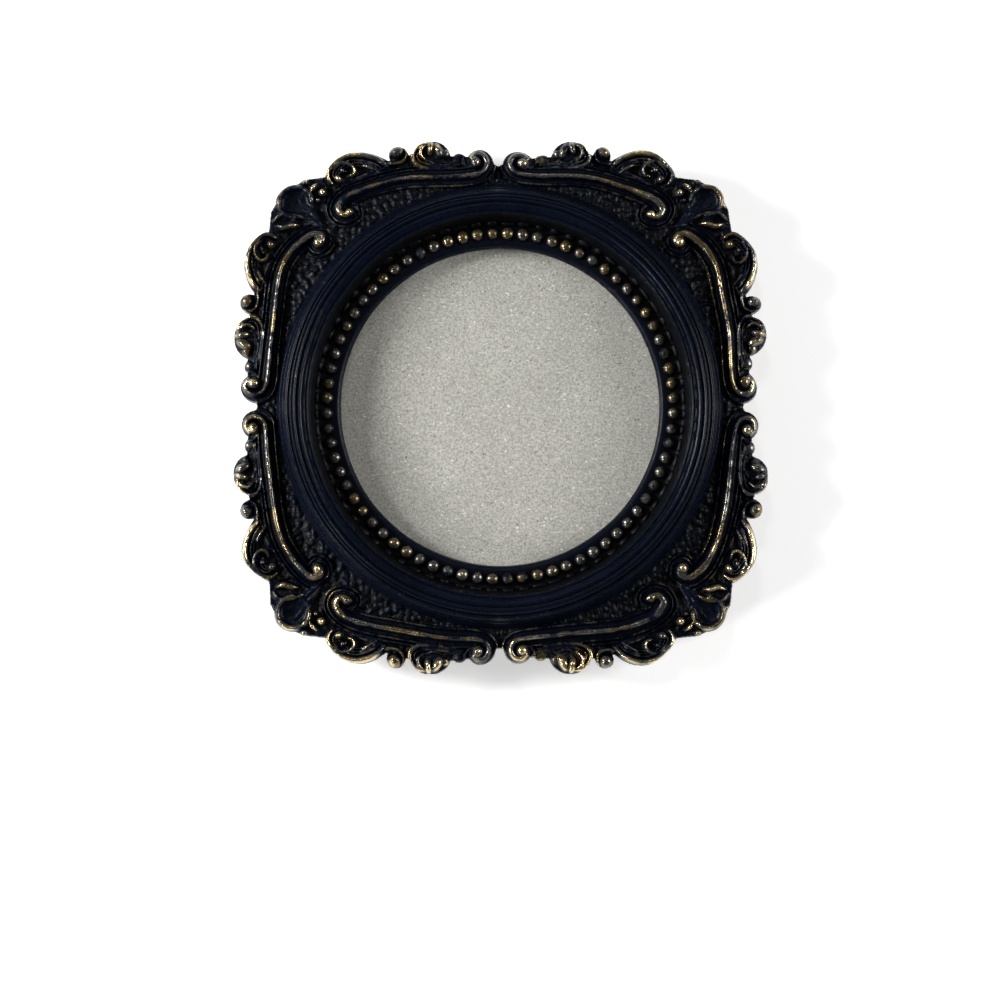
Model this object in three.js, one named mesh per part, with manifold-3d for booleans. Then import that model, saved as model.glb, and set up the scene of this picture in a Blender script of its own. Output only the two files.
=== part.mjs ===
// A small baroque photo frame: one cast resin surround with a round beaded window, and behind it a
// glass pane, a grey backing card and a black easel board with a hinged leg and four turn buttons.
// It lies on its back, face up. Millimetres, +Z out of the face, +Y up the picture, origin on the table.
import * as THREE from "three";
import { mergeVertices } from "three/addons/utils/BufferGeometryUtils.js";
import Module from "manifold-3d";

const wasm = await Module();
wasm.setup();

// Pieces behind the casting
const PICTURE_SIDE = 76; // a three inch square picture
const PICTURE_CORNER = 2;
const GLASS_THICKNESS = 1.6;
const CARD_THICKNESS = 1;
const BOARD_THICKNESS = 3;
const BOARD_PROUD = 2.3; // how far the board stands out of the casting's back
const RABBET_CLEARANCE = 0.3;

// Easel leg and its hinge
const LEG_THICKNESS = 1.6;
const LEG_TOP_WIDTH = 26;
const LEG_FOOT_WIDTH = 36;
const LEG_FOOT_CORNER = 3;
const LEG_LENGTH = 72.5; // from the hinge axis to the foot
const LEG_OPEN_DEGREES = 32;
const LEAF_THICKNESS = 0.4;
const LEAF_GAP = 0.4; // between the leg's leaf and the board, where the rivet heads go
const LEAF_LENGTH = 10;
const HINGE_Y = 20;
const HINGE_WIDTH = 20;
const KNUCKLE_RADIUS = 1.1;
const KNUCKLE_WIDTH = 5;
const PIN_RADIUS = 0.55;
const PIN_CLEARANCE = 0.05;
const HINGE_SIDE_GAP = 0.2;
const RIVET_RADIUS = 0.9;
const RIVET_HEAD_RADIUS = 1.6;
const RIVET_HEAD_HEIGHT = 0.3;
const RIVET_SPREAD = 12;
const RIVET_CLEARANCE = 0.05;

// Turn buttons and their screws
const BUTTON_THICKNESS = 0.8;
const BUTTON_FOOT_RADIUS = 3.5;
const BUTTON_TONGUE_WIDTH = 5;
const BUTTON_REACH = 3.5; // how far the tongue covers the board
const BUTTON_SPREAD = 40; // between the two buttons on one side
const BUTTON_BACK_GAP = 0.1;
const BUTTON_BOARD_GAP = 0.15;
const SWEEP_CLEARANCE = 0.3; // between the board's edge and the bend as it turns
const SCREW_RADIUS = 0.95;
const SCREW_DEPTH = 4.5;
const SCREW_HEAD_RADIUS = 2.1;
const SCREW_HEAD_HEIGHT = 1.3;
const SCREW_SLOT_WIDTH = 0.6;
const SCREW_SLOT_DEPTH = 0.6;
const SCREW_CLEARANCE = 0.05;

// Moulding ring round the window
const WINDOW_RADIUS = 35.8;
const LIP_THICKNESS = 1.9; // resin in front of the glass at the window's edge
const BEAD_CIRCLE_RADIUS = 38.9;
const BEAD_RADIUS = 1.35;
const BEAD_COUNT = 72;
const BEAD_LIFT = 0.35; // the bead's centre above its seat
const SEAT_WIDTH = 3.8;
const SEAT_RISE = 1; // the bead seat above the window's edge
const RING_RADIUS = 48.8;
const RING_RISE = 6.1; // the ring's top above the bead seat
const COVE_WIDTH = 1.9;
const RIDGE_WIDTH = 2.2;
const RING_FOOT_DROP = 4.6; // from the ring's top to where it meets the field

// Ornament. Places are drawn on a frame DRAWN_SIDE across and follow FRAME_SIDE.
const FRAME_SIDE = 120;
const DRAWN_SIDE = 120;
const FIELD_COVER = 2.2; // the outer field's top above the rabbet's roof
const FIELD_RISE = 2; // from the outer field up to the ring's foot
const FIELD_SLOPE_RADIUS = 60; // where the field's slope has run out
const LOBE_RISE = 1.3; // above the outer field
const ROUNDING = 2.2; // height of a lobe's rounded shoulder
const RAIL_RISE = 2.6;
const RAIL_HALF_WIDTH = 1.3;
const RAIL_SHOULDER = 1.3; // the rail's sides below its ridge
const RAIL_STEPS = 17;
const VOLUTE_RISE = 1;
const EYE_RISE = 2.3;
const ACANTHUS_RISE = 1.6;
const ACANTHUS_BEVEL = 1.2;
const ACANTHUS_HOLLOW = 1.5;
const PALMETTE_RISE = 1.9;
const PALMETTE_HOLLOW = 1.3;

const BALL_SEGMENTS = 6;
const BEAD_SEGMENTS = 5;
const SLOPE_SEGMENTS = 16;
const RING_SEGMENTS = 72;
const ROUND_SEGMENTS = 12;
const SHANK_SEGMENTS = 8;

// One eighth of the ornament: x runs along the side from its middle, y points outwards.
const FIELD_EDGE = [[0, 53.9], [8, 55.6], [20, 55.8], [27, 54.6], [36, 52.6], [39.6, 50.9], [44.4, 50.3], [47.4, 47.4]];
const RAIL_PATH = [
  [5, 57.4], [2.6, 56.6], [1.9, 54.4], [3.2, 52.3], [6, 51.4], [11, 51.1], [17, 50.9], [23, 50.3], [28, 49.2],
  [32, 47.6], [35.4, 45.4], [37.4, 42.8], [37, 40.3], [34.8, 39.2], [32.6, 40.2],
];
const SIDE_VOLUTE = { at: [4.6, 54.5], radius: 3.5, segments: 10 };
const CORNER_VOLUTE = { at: [34.9, 42.2], radius: 3.9, segments: 10 };
const EYE_RADIUS = 1.2;
const LOBES = {
  bud: { at: [9.2, 55.2], radius: 2, segments: 6 },
  shell: { at: [15.5, 56], radius: 3.6, segments: 10 },
  pearl: { at: [22.8, 56], radius: 2.2, segments: 8 },
  cornerKnob: { at: [42, 49.2], radius: 2.2, segments: 6 },
};
const ACANTHUS_EYE = { at: [37.4, 50.2], radius: 1.1 };
const ACANTHUS = [
  [25.2, 54], [27.4, 56.1], [30.5, 57.3], [34, 57.3], [37, 55.9], [39.2, 53], [38.6, 49.6], [35.6, 49.6],
  [32, 51.4], [26.6, 52.4],
];
const ACANTHUS_DISH = { at: [33.6, 53.4], radius: 3.2 };
const PALMETTE = { at: [46.1, 46.1], radius: 4.6, segments: 12 };

// Heights, from the table up
const BOARD_Z = LEG_THICKNESS + LEAF_THICKNESS + LEAF_GAP;
const CARD_Z = BOARD_Z + BOARD_THICKNESS;
const GLASS_Z = CARD_Z + CARD_THICKNESS;
const RABBET_TOP_Z = GLASS_Z + GLASS_THICKNESS;
const BACK_Z = BOARD_Z + BOARD_PROUD;
const LIP_Z = RABBET_TOP_Z + LIP_THICKNESS;
const SEAT_Z = LIP_Z + SEAT_RISE;
const RING_Z = SEAT_Z + RING_RISE;
const RING_FOOT_Z = RING_Z - RING_FOOT_DROP;
const FIELD_Z = RABBET_TOP_Z + FIELD_COVER;
const LOBE_Z = FIELD_Z + LOBE_RISE;
const HINGE_Z = BOARD_Z / 2;
const RABBET_HALF = PICTURE_SIDE / 2 + RABBET_CLEARANCE;

// Screw places: the bend clears the board's edge as the button turns.
const BUTTON_BEND = BUTTON_FOOT_RADIUS - 0.1; // outer face of the bend, from the screw's axis
const BUTTON_SWEEP = Math.hypot(BUTTON_BEND, BUTTON_TONGUE_WIDTH / 2);
const BUTTON_OFFSET = BUTTON_SWEEP + SWEEP_CLEARANCE;
const BUTTON_X = PICTURE_SIDE / 2 + BUTTON_OFFSET;

const COLOURS = {
  resin: new THREE.MeshStandardMaterial({ color: 0x14171f, roughness: 0.45, metalness: 0 }),
  glass: new THREE.MeshStandardMaterial({ color: 0xdfe8e6, roughness: 0.05, metalness: 0, transparent: true, opacity: 0.3 }),
  card: new THREE.MeshStandardMaterial({ color: 0xa9aaa2, roughness: 0.95, metalness: 0 }),
  board: new THREE.MeshStandardMaterial({ color: 0x101114, roughness: 0.85, metalness: 0 }),
  steel: new THREE.MeshStandardMaterial({ color: 0x8d8a84, roughness: 0.35, metalness: 1 }),
  blackSteel: new THREE.MeshStandardMaterial({ color: 0x22211f, roughness: 0.4, metalness: 1 }),
};

// A three.js geometry as a solid for joining and cutting
function solidOf(geometry) {
  const bare = new THREE.BufferGeometry();
  bare.setAttribute("position", geometry.getAttribute("position").clone());
  if (geometry.index) bare.setIndex(geometry.index.clone());
  const merged = mergeVertices(bare, 1e-4);
  const corners = Array.from(merged.index.array);
  const triangles = [];
  for (let i = 0; i < corners.length; i += 3) {
    const [a, b, c] = corners.slice(i, i + 3);
    if (a !== b && b !== c && c !== a) triangles.push(a, b, c);
  }
  const made = (order) =>
    new wasm.Manifold(
      new wasm.Mesh({
        numProp: 3,
        vertProperties: new Float32Array(merged.attributes.position.array),
        triVerts: new Uint32Array(order),
      }),
    );
  const solid = made(triangles);
  return solid.volume() > 0 ? solid : made(triangles.reverse());
}

function geometryOf(solid) {
  const mesh = solid.getMesh();
  const geometry = new THREE.BufferGeometry();
  geometry.setAttribute("position", new THREE.BufferAttribute(new Float32Array(mesh.vertProperties), 3));
  geometry.setIndex(new THREE.BufferAttribute(new Uint32Array(mesh.triVerts), 1));
  const faceted = geometry.toNonIndexed();
  faceted.computeVertexNormals();
  return faceted;
}

const joined = (solids) => solids.reduce((whole, solid) => whole.add(solid));
const drawn = ([x, y]) => [(x * FRAME_SIDE) / DRAWN_SIDE, (y * FRAME_SIDE) / DRAWN_SIDE];

function prism(points, low, high) {
  const shape = new THREE.Shape(points.map(([x, y]) => new THREE.Vector2(x, y)));
  const geometry = new THREE.ExtrudeGeometry(shape, { depth: high - low, bevelEnabled: false });
  return geometry.translate(0, 0, low);
}

function cylinder(x, y, radius, low, high, segments = ROUND_SEGMENTS) {
  const geometry = new THREE.CylinderGeometry(radius, radius, high - low, segments);
  return geometry.rotateX(Math.PI / 2).translate(x, y, (low + high) / 2);
}

function roundedSquare(half, corner) {
  const points = [];
  for (let quarter = 0; quarter < 4; quarter++) {
    const turn = (quarter * Math.PI) / 2;
    for (const step of [0, 1 / 3, 2 / 3, 1]) {
      const angle = (step * Math.PI) / 2;
      const x = half - corner + corner * Math.cos(angle);
      const y = half - corner + corner * Math.sin(angle);
      points.push([x * Math.cos(turn) - y * Math.sin(turn), x * Math.sin(turn) + y * Math.cos(turn)]);
    }
  }
  return points;
}

function lathe(profile, segments) {
  const points = profile.map(([r, z]) => new THREE.Vector2(r, z));
  return new THREE.LatheGeometry(points, segments).rotateX(Math.PI / 2);
}

// An upright wall that closes in to a crown, the crown's profile given from the wall inwards
function drum({ at, radius, segments }, shoulder, crown) {
  const [x, y] = drawn(at);
  return lathe([[0, BACK_Z], [radius, BACK_Z], [radius, shoulder], ...crown], segments).translate(x, y, 0);
}

// A lobe has a rounded shoulder and a low crown.
function lobe(one, top) {
  return drum(one, top - ROUNDING, [[one.radius * 0.72, top - ROUNDING * 0.2], [0, top]]);
}

// A volute's middle slopes up to a standing eye.
function volute(one) {
  const top = FIELD_Z + VOLUTE_RISE;
  const eyeTop = FIELD_Z + EYE_RISE;
  return drum(one, top - ROUNDING / 2, [[EYE_RADIUS, top], [EYE_RADIUS * 0.8, eyeTop - EYE_RADIUS * 0.4], [0, eyeTop]]);
}

function ball({ at, radius }, z) {
  const [x, y] = drawn(at);
  return new THREE.SphereGeometry(radius, BALL_SEGMENTS, 4).rotateX(Math.PI / 2).translate(x, y, z);
}

// The band with a raised ridge that runs from one volute to the other
function rail() {
  const places = RAIL_PATH.map(drawn).map(([x, y]) => new THREE.Vector3(x, y, 0));
  const path = new THREE.CatmullRomCurve3(places);
  const foot = RABBET_TOP_Z + FIELD_COVER / 2;
  const ridge = FIELD_Z + RAIL_RISE;
  const section = new THREE.Shape(
    [
      [-foot, -RAIL_HALF_WIDTH],
      [-foot, RAIL_HALF_WIDTH],
      [RAIL_SHOULDER - ridge, RAIL_HALF_WIDTH],
      [-ridge, 0],
      [RAIL_SHOULDER - ridge, -RAIL_HALF_WIDTH],
    ].map(([x, y]) => new THREE.Vector2(x, y)),
  );
  return new THREE.ExtrudeGeometry(section, { steps: RAIL_STEPS, extrudePath: path, bevelEnabled: false });
}

// The leaf that curls over beside each corner, hollowed like a shell
function acanthus() {
  const shape = new THREE.Shape(ACANTHUS.map(drawn).map(([x, y]) => new THREE.Vector2(x, y)));
  const top = FIELD_Z + ACANTHUS_RISE;
  const geometry = new THREE.ExtrudeGeometry(shape, {
    depth: top - BACK_Z - ACANTHUS_BEVEL,
    bevelThickness: ACANTHUS_BEVEL,
    bevelSize: ACANTHUS_BEVEL,
    bevelOffset: -ACANTHUS_BEVEL,
    bevelSegments: 1,
  });
  const body = solidOf(geometry.translate(0, 0, BACK_Z));
  const below = solidOf(prism(roundedSquare(FRAME_SIDE, 1), BACK_Z - ACANTHUS_BEVEL * 2, BACK_Z));
  return body.subtract(below).subtract(dish(ACANTHUS_DISH, top, ACANTHUS_HOLLOW));
}

// The lens that scoops a hollow of that depth into a surface at height top
function dish({ at, radius }, top, depth) {
  const [x, y] = drawn(at);
  const lens = new THREE.SphereGeometry(radius, BALL_SEGMENTS, 4).rotateX(Math.PI / 2);
  return solidOf(lens.scale(1, 1, depth / radius).translate(x, y, top));
}

// Everything in one eighth of the ornament
function eighth() {
  return joined([
    ...[SIDE_VOLUTE, CORNER_VOLUTE].map((one) => solidOf(volute(one))),
    ...Object.values(LOBES).map((one) => solidOf(lobe(one, LOBE_Z))),
    solidOf(rail()),
    acanthus(),
    solidOf(ball(ACANTHUS_EYE, FIELD_Z + ACANTHUS_RISE - ACANTHUS_EYE.radius / 4)),
  ]);
}

// The palmette on the corner's diagonal, a broad lobe with a scooped face
function palmette() {
  const top = FIELD_Z + PALMETTE_RISE;
  const body = solidOf(lobe(PALMETTE, top));
  return body.subtract(dish({ at: PALMETTE.at, radius: PALMETTE.radius * 0.66 }, top, PALMETTE_HOLLOW));
}

// The moulding ring: window edge, bead seat, cove, ridge and rounded outer face
function ringProfile() {
  const seatInner = BEAD_CIRCLE_RADIUS - SEAT_WIDTH / 2;
  const seatOuter = BEAD_CIRCLE_RADIUS + SEAT_WIDTH / 2;
  const ridgeInner = seatOuter + COVE_WIDTH;
  const ridgeOuter = ridgeInner + RIDGE_WIDTH;
  const face = RING_RADIUS - ridgeOuter;
  return [
    [WINDOW_RADIUS, BACK_Z],
    [WINDOW_RADIUS, LIP_Z],
    [seatInner, SEAT_Z],
    [seatOuter, SEAT_Z],
    [seatOuter + COVE_WIDTH * 0.45, SEAT_Z + RING_RISE * 0.5],
    [ridgeInner + RIDGE_WIDTH * 0.2, RING_Z],
    [ridgeOuter, RING_Z],
    [ridgeOuter + face * 0.65, RING_Z - RING_FOOT_DROP * 0.35],
    [RING_RADIUS, RING_FOOT_Z],
    [RING_RADIUS, BACK_Z],
    [WINDOW_RADIUS, BACK_Z],
  ];
}

function beads() {
  const top = SEAT_Z + BEAD_LIFT + BEAD_RADIUS;
  const dome = [
    [0, LIP_Z],
    [BEAD_RADIUS, LIP_Z],
    [BEAD_RADIUS * 0.9, SEAT_Z + BEAD_LIFT * 2],
    [0, top],
  ];
  return Array.from({ length: BEAD_COUNT }, (_, i) => {
    const angle = ((i + 0.5) * 2 * Math.PI) / BEAD_COUNT;
    const bead = lathe(dome, BEAD_SEGMENTS).translate(BEAD_CIRCLE_RADIUS, 0, 0);
    return bead.rotateZ(angle);
  });
}

// The field's edge all round, from the one eighth that is drawn
function fieldOutline() {
  const half = FIELD_EDGE.map(drawn);
  const mirrored = half.slice(0, -1).reverse().map(([x, y]) => [y, x]);
  const quarter = [...half, ...mirrored].slice(0, -1);
  const turned = (turns) =>
    quarter.map(([x, y]) => [[x, y], [y, -x], [-x, -y], [-y, x]][turns]);
  return [0, 1, 2, 3].flatMap(turned);
}

function screwHoles() {
  const radius = SCREW_RADIUS + SCREW_CLEARANCE;
  const top = BACK_Z + SCREW_DEPTH + SCREW_CLEARANCE;
  return buttonPlaces().map(({ x, y }) => solidOf(cylinder(x, y, radius, BACK_Z - 1, top, SHANK_SEGMENTS)));
}

// Field, ring, ornament and beads as one casting, cut for the window, the rabbet and the screws
function casting() {
  const outline = fieldOutline();
  const field = solidOf(prism(outline, BACK_Z, FIELD_Z));
  const slope = lathe(
    [
      [WINDOW_RADIUS, BACK_Z],
      [WINDOW_RADIUS, FIELD_Z],
      [RING_RADIUS - 1, FIELD_Z + FIELD_RISE],
      [RING_RADIUS, FIELD_Z + FIELD_RISE],
      [FIELD_SLOPE_RADIUS, FIELD_Z],
      [FIELD_SLOPE_RADIUS, BACK_Z],
      [WINDOW_RADIUS, BACK_Z],
    ],
    SLOPE_SEGMENTS,
  );
  const bank = solidOf(slope).intersect(solidOf(prism(outline, BACK_Z, RING_Z)));
  const part = eighth();
  const corner = palmette();
  const ornament = [0, 90, 180, 270].flatMap((turn) => [
    part.rotate([0, 0, turn]),
    part.mirror([1, 0, 0]).rotate([0, 0, turn]),
    corner.rotate([0, 0, turn]),
  ]);
  const bore = solidOf(cylinder(0, 0, WINDOW_RADIUS, BACK_Z - 1, RING_Z + 1, RING_SEGMENTS));
  const rabbet = solidOf(
    prism(roundedSquare(RABBET_HALF, PICTURE_CORNER + RABBET_CLEARANCE), BACK_Z - 1, RABBET_TOP_Z),
  );
  return joined([field, bank, ...ornament])
    .subtract(bore)
    .add(solidOf(lathe(ringProfile(), RING_SEGMENTS)))
    .add(joined(beads().map(solidOf)))
    .subtract(rabbet)
    .subtract(joined(screwHoles()));
}

function pane(low, high) {
  return prism(roundedSquare(PICTURE_SIDE / 2, PICTURE_CORNER), low, high);
}

const RIVET_SIDES = { left: -RIVET_SPREAD / 2, right: RIVET_SPREAD / 2 };
const BOARD_RIVET_Y = HINGE_Y + LEAF_LENGTH * 0.6;
const LEG_RIVET_Y = HINGE_Y - LEAF_LENGTH * 0.7;

function rivetHoles(y) {
  const radius = RIVET_RADIUS + RIVET_CLEARANCE;
  return joined(Object.values(RIVET_SIDES).map((x) => solidOf(cylinder(x, y, radius, -1, GLASS_Z, SHANK_SEGMENTS))));
}

function board() {
  return solidOf(pane(BOARD_Z, CARD_Z)).subtract(rivetHoles(BOARD_RIVET_Y));
}

// The leg's two heels stand past the hinge and meet the board when the leg is open.
function leg() {
  const heelTop = LEG_THICKNESS - HINGE_Z;
  const open = THREE.MathUtils.degToRad(LEG_OPEN_DEGREES);
  const heel = (HINGE_Z - PIN_CLEARANCE - heelTop * Math.cos(open)) / Math.sin(open);
  const top = LEG_TOP_WIDTH / 2;
  const foot = LEG_FOOT_WIDTH / 2;
  const notch = HINGE_WIDTH / 2 + HINGE_SIDE_GAP * 2;
  const notchY = HINGE_Y - KNUCKLE_RADIUS - HINGE_SIDE_GAP * 2;
  const footY = HINGE_Y - LEG_LENGTH;
  const cut = LEG_FOOT_CORNER;
  const right = [
    [notch, notchY],
    [notch, HINGE_Y + heel],
    [top, HINGE_Y + heel],
    [top, HINGE_Y - LEAF_LENGTH],
    [foot, footY + cut * 2],
    [foot - cut * 0.3, footY + cut * 0.3],
    [foot - cut, footY],
  ];
  const left = right.map(([x, y]) => [-x, y]).reverse();
  return solidOf(prism([...right, ...left], 0, LEG_THICKNESS)).subtract(rivetHoles(LEG_RIVET_Y));
}

// A knuckle along the hinge's axis, bored for the pin
function knuckle(from, to) {
  const tube = (radius, low, high) => {
    const geometry = new THREE.CylinderGeometry(radius, radius, high - low, ROUND_SEGMENTS);
    return solidOf(geometry.rotateZ(Math.PI / 2).translate((low + high) / 2, HINGE_Y, HINGE_Z));
  };
  return { round: tube(KNUCKLE_RADIUS, from, to), bore: tube(PIN_RADIUS + PIN_CLEARANCE, from - 1, to + 1) };
}

function box(x0, x1, y0, y1, z0, z1) {
  const geometry = new THREE.BoxGeometry(x1 - x0, y1 - y0, z1 - z0);
  return solidOf(geometry.translate((x0 + x1) / 2, (y0 + y1) / 2, (z0 + z1) / 2));
}

function fixedLeaf() {
  const half = HINGE_WIDTH / 2;
  const clear = HINGE_Y + KNUCKLE_RADIUS + HINGE_SIDE_GAP;
  const low = BOARD_Z - LEAF_THICKNESS;
  const plate = box(-half, half, clear, HINGE_Y + LEAF_LENGTH, low, BOARD_Z);
  const ends = [[-half, -half + KNUCKLE_WIDTH], [half - KNUCKLE_WIDTH, half]].map(([from, to]) => {
    const { round, bore } = knuckle(from, to);
    return round.add(box(from, to, HINGE_Y, clear + HINGE_SIDE_GAP, low, BOARD_Z)).subtract(bore);
  });
  return plate.add(ends[0]).add(ends[1]).subtract(rivetHoles(BOARD_RIVET_Y));
}

function movingLeaf() {
  const half = HINGE_WIDTH / 2;
  const middle = half - KNUCKLE_WIDTH - HINGE_SIDE_GAP;
  const clear = HINGE_Y - KNUCKLE_RADIUS - HINGE_SIDE_GAP;
  const high = LEG_THICKNESS + LEAF_THICKNESS;
  const plate = box(-half, half, HINGE_Y - LEAF_LENGTH, clear, LEG_THICKNESS, high);
  const { round, bore } = knuckle(-middle, middle);
  const tab = box(-middle, middle, clear - HINGE_SIDE_GAP, HINGE_Y, LEG_THICKNESS, high);
  return plate.add(round).add(tab).subtract(bore).subtract(rivetHoles(LEG_RIVET_Y));
}

function hingePin() {
  const geometry = new THREE.CylinderGeometry(PIN_RADIUS, PIN_RADIUS, HINGE_WIDTH, ROUND_SEGMENTS);
  return geometry.rotateZ(Math.PI / 2).translate(0, HINGE_Y, HINGE_Z);
}

// A rivet: a shank from one height to another and a low head at one end
function rivet(low, high, headLow) {
  const shank = solidOf(cylinder(0, 0, RIVET_RADIUS, low, high, SHANK_SEGMENTS));
  return shank.add(solidOf(cylinder(0, 0, RIVET_HEAD_RADIUS, headLow, headLow + RIVET_HEAD_HEIGHT)));
}

function buttonPlaces() {
  return [
    { name: "upper_right", side: 1, end: 1 },
    { name: "lower_right", side: 1, end: -1 },
    { name: "upper_left", side: -1, end: 1 },
    { name: "lower_left", side: -1, end: -1 },
  ].map((place) => ({ ...place, x: place.side * BUTTON_X, y: (place.end * BUTTON_SPREAD) / 2 }));
}

// A turn button: a round foot on the casting, a bend, and a tongue that holds the board.
// It is made pointing along -X from its screw.
function turnButton() {
  const footTop = BACK_Z - BUTTON_BACK_GAP;
  const tongueTop = BOARD_Z - BUTTON_BOARD_GAP;
  const bend = -BUTTON_BEND;
  const tip = -(BUTTON_OFFSET + BUTTON_REACH);
  const half = BUTTON_TONGUE_WIDTH / 2;
  const t = BUTTON_THICKNESS;
  const tongue = joined([
    box(bend, 0, -half, half, footTop - t, footTop),
    box(bend, bend + t, -half, half, tongueTop - t, footTop),
    box(tip + half, bend + t, -half, half, tongueTop - t, tongueTop),
    solidOf(cylinder(tip + half, 0, half, tongueTop - t, tongueTop)),
  ]);
  return solidOf(cylinder(0, 0, BUTTON_FOOT_RADIUS, footTop - t, footTop))
    .add(tongue)
    .subtract(solidOf(cylinder(0, 0, SCREW_RADIUS + SCREW_CLEARANCE * 2, 0, BACK_Z, SHANK_SEGMENTS)));
}

function screw() {
  const seat = BACK_Z - BUTTON_BACK_GAP - BUTTON_THICKNESS - SCREW_CLEARANCE;
  const bottom = seat - SCREW_HEAD_HEIGHT;
  const shank = solidOf(cylinder(0, 0, SCREW_RADIUS, seat, BACK_Z + SCREW_DEPTH, SHANK_SEGMENTS));
  const domed = [
    [0, bottom],
    [SCREW_HEAD_RADIUS * 0.7, bottom],
    [SCREW_HEAD_RADIUS, bottom + SCREW_HEAD_HEIGHT * 0.5],
    [SCREW_HEAD_RADIUS, seat],
    [0, seat],
  ];
  const slot = box(-3, 3, -SCREW_SLOT_WIDTH / 2, SCREW_SLOT_WIDTH / 2, bottom - 1, bottom + SCREW_SLOT_DEPTH);
  return solidOf(lathe(domed, ROUND_SEGMENTS)).add(shank).subtract(slot);
}

const frame = new THREE.Group();

function place(name, geometry, material, x = 0, y = 0, turn = 0) {
  const mesh = new THREE.Mesh(geometry, material);
  mesh.name = name;
  mesh.position.set(x, y, 0);
  mesh.rotation.z = turn;
  frame.add(mesh);
}

place("resin_casting", geometryOf(casting()), COLOURS.resin);
place("glass_pane", pane(GLASS_Z, RABBET_TOP_Z), COLOURS.glass);
place("backing_card", pane(CARD_Z, GLASS_Z), COLOURS.card);
place("easel_board", geometryOf(board()), COLOURS.board);
place("easel_leg", geometryOf(leg()), COLOURS.board);
place("hinge_fixed_leaf", geometryOf(fixedLeaf()), COLOURS.steel);
place("hinge_moving_leaf", geometryOf(movingLeaf()), COLOURS.steel);
place("hinge_pin", hingePin(), COLOURS.steel);

const fixedLeafZ = BOARD_Z - LEAF_THICKNESS;
const movingLeafTop = LEG_THICKNESS + LEAF_THICKNESS;
const boardRivetGeometry = geometryOf(rivet(fixedLeafZ, CARD_Z, fixedLeafZ - RIVET_HEAD_HEIGHT));
const legRivetGeometry = geometryOf(rivet(0, movingLeafTop, movingLeafTop));
for (const [side, x] of Object.entries(RIVET_SIDES)) {
  place(`board_rivet_${side}`, boardRivetGeometry, COLOURS.steel, x, BOARD_RIVET_Y);
  place(`leg_rivet_${side}`, legRivetGeometry, COLOURS.steel, x, LEG_RIVET_Y);
}

const buttonGeometry = geometryOf(turnButton());
const screwGeometry = geometryOf(screw());
for (const { name, side, x, y } of buttonPlaces()) {
  const turn = side > 0 ? 0 : Math.PI;
  place(`turn_button_${name}`, buttonGeometry, COLOURS.blackSteel, x, y, turn);
  place(`button_screw_${name}`, screwGeometry, COLOURS.steel, x, y, turn);
}

export default frame;
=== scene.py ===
"""A small baroque photo frame in cast resin, painted navy black and rubbed with antique gold.

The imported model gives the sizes. The carved border is worked out as a relief, a height for every
place on the casting's face, and cut to the frame's lobed outline.
"""

import math
from contextlib import contextmanager

import bmesh
import bpy
import numpy as np
from bpy.props import FloatProperty, FloatVectorProperty, IntProperty, PointerProperty
from mathutils import Matrix, Vector


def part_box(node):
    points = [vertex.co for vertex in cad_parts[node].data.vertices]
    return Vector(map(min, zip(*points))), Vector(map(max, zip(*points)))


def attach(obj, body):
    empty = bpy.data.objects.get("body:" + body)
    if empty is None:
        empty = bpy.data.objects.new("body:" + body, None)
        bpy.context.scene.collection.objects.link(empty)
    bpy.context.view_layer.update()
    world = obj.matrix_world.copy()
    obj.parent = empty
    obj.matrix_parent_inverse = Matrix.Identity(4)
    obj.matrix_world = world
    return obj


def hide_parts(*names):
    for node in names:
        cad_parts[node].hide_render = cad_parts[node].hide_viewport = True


bl_info = {
    "name": "Baroque Photo Frame",
    "version": (1, 0, 0),
    "blender": (4, 5, 0),
    "location": "View3D > Sidebar > Photo Frame",
    "description": "Builds a small cast resin photo frame with a round beaded window and an easel back",
    "category": "Add Mesh",
}

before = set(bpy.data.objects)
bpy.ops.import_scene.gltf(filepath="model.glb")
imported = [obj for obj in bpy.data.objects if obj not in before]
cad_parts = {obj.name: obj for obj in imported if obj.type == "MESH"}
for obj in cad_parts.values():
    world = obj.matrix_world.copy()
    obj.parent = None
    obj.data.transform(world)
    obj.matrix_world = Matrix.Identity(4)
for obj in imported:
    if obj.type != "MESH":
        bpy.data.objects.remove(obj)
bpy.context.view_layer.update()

MM = 0.001
CASTING_LOW, CASTING_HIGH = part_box("resin_casting")
# Levels in mm above the table
BACK = CASTING_LOW.z / MM  # the casting's flat back
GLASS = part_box("glass_pane")[1].z / MM  # the glass's front
LIP = GLASS + 1.9  # the window's edge
SEAT = LIP + 1.0  # where the beads and leaf tips stand
CROWN = CASTING_HIGH.z / MM - 0.18  # the moulding's highest reed

SIDES = ("upper_right", "lower_right", "upper_left", "lower_left")
SMOOTH_ANGLE = 40  # degrees past which an edge is shown sharp


def linear(hex_colour):
    """An sRGB hex colour as linear RGB."""
    parts = [int(hex_colour[i : i + 2], 16) / 255 for i in (1, 3, 5)]
    return tuple(c / 12.92 if c <= 0.04045 else ((c + 0.055) / 1.055) ** 2.4 for c in parts)


def length(name, description, millimetres):
    return FloatProperty(
        name=name, description=description, default=millimetres * MM, unit="LENGTH", precision=5
    )


def number(name, description, count):
    return IntProperty(name=name, description=description, default=count)


def colour(name, description, hex_colour):
    return FloatVectorProperty(
        name=name, description=description, default=linear(hex_colour), subtype="COLOR", size=3
    )


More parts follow.
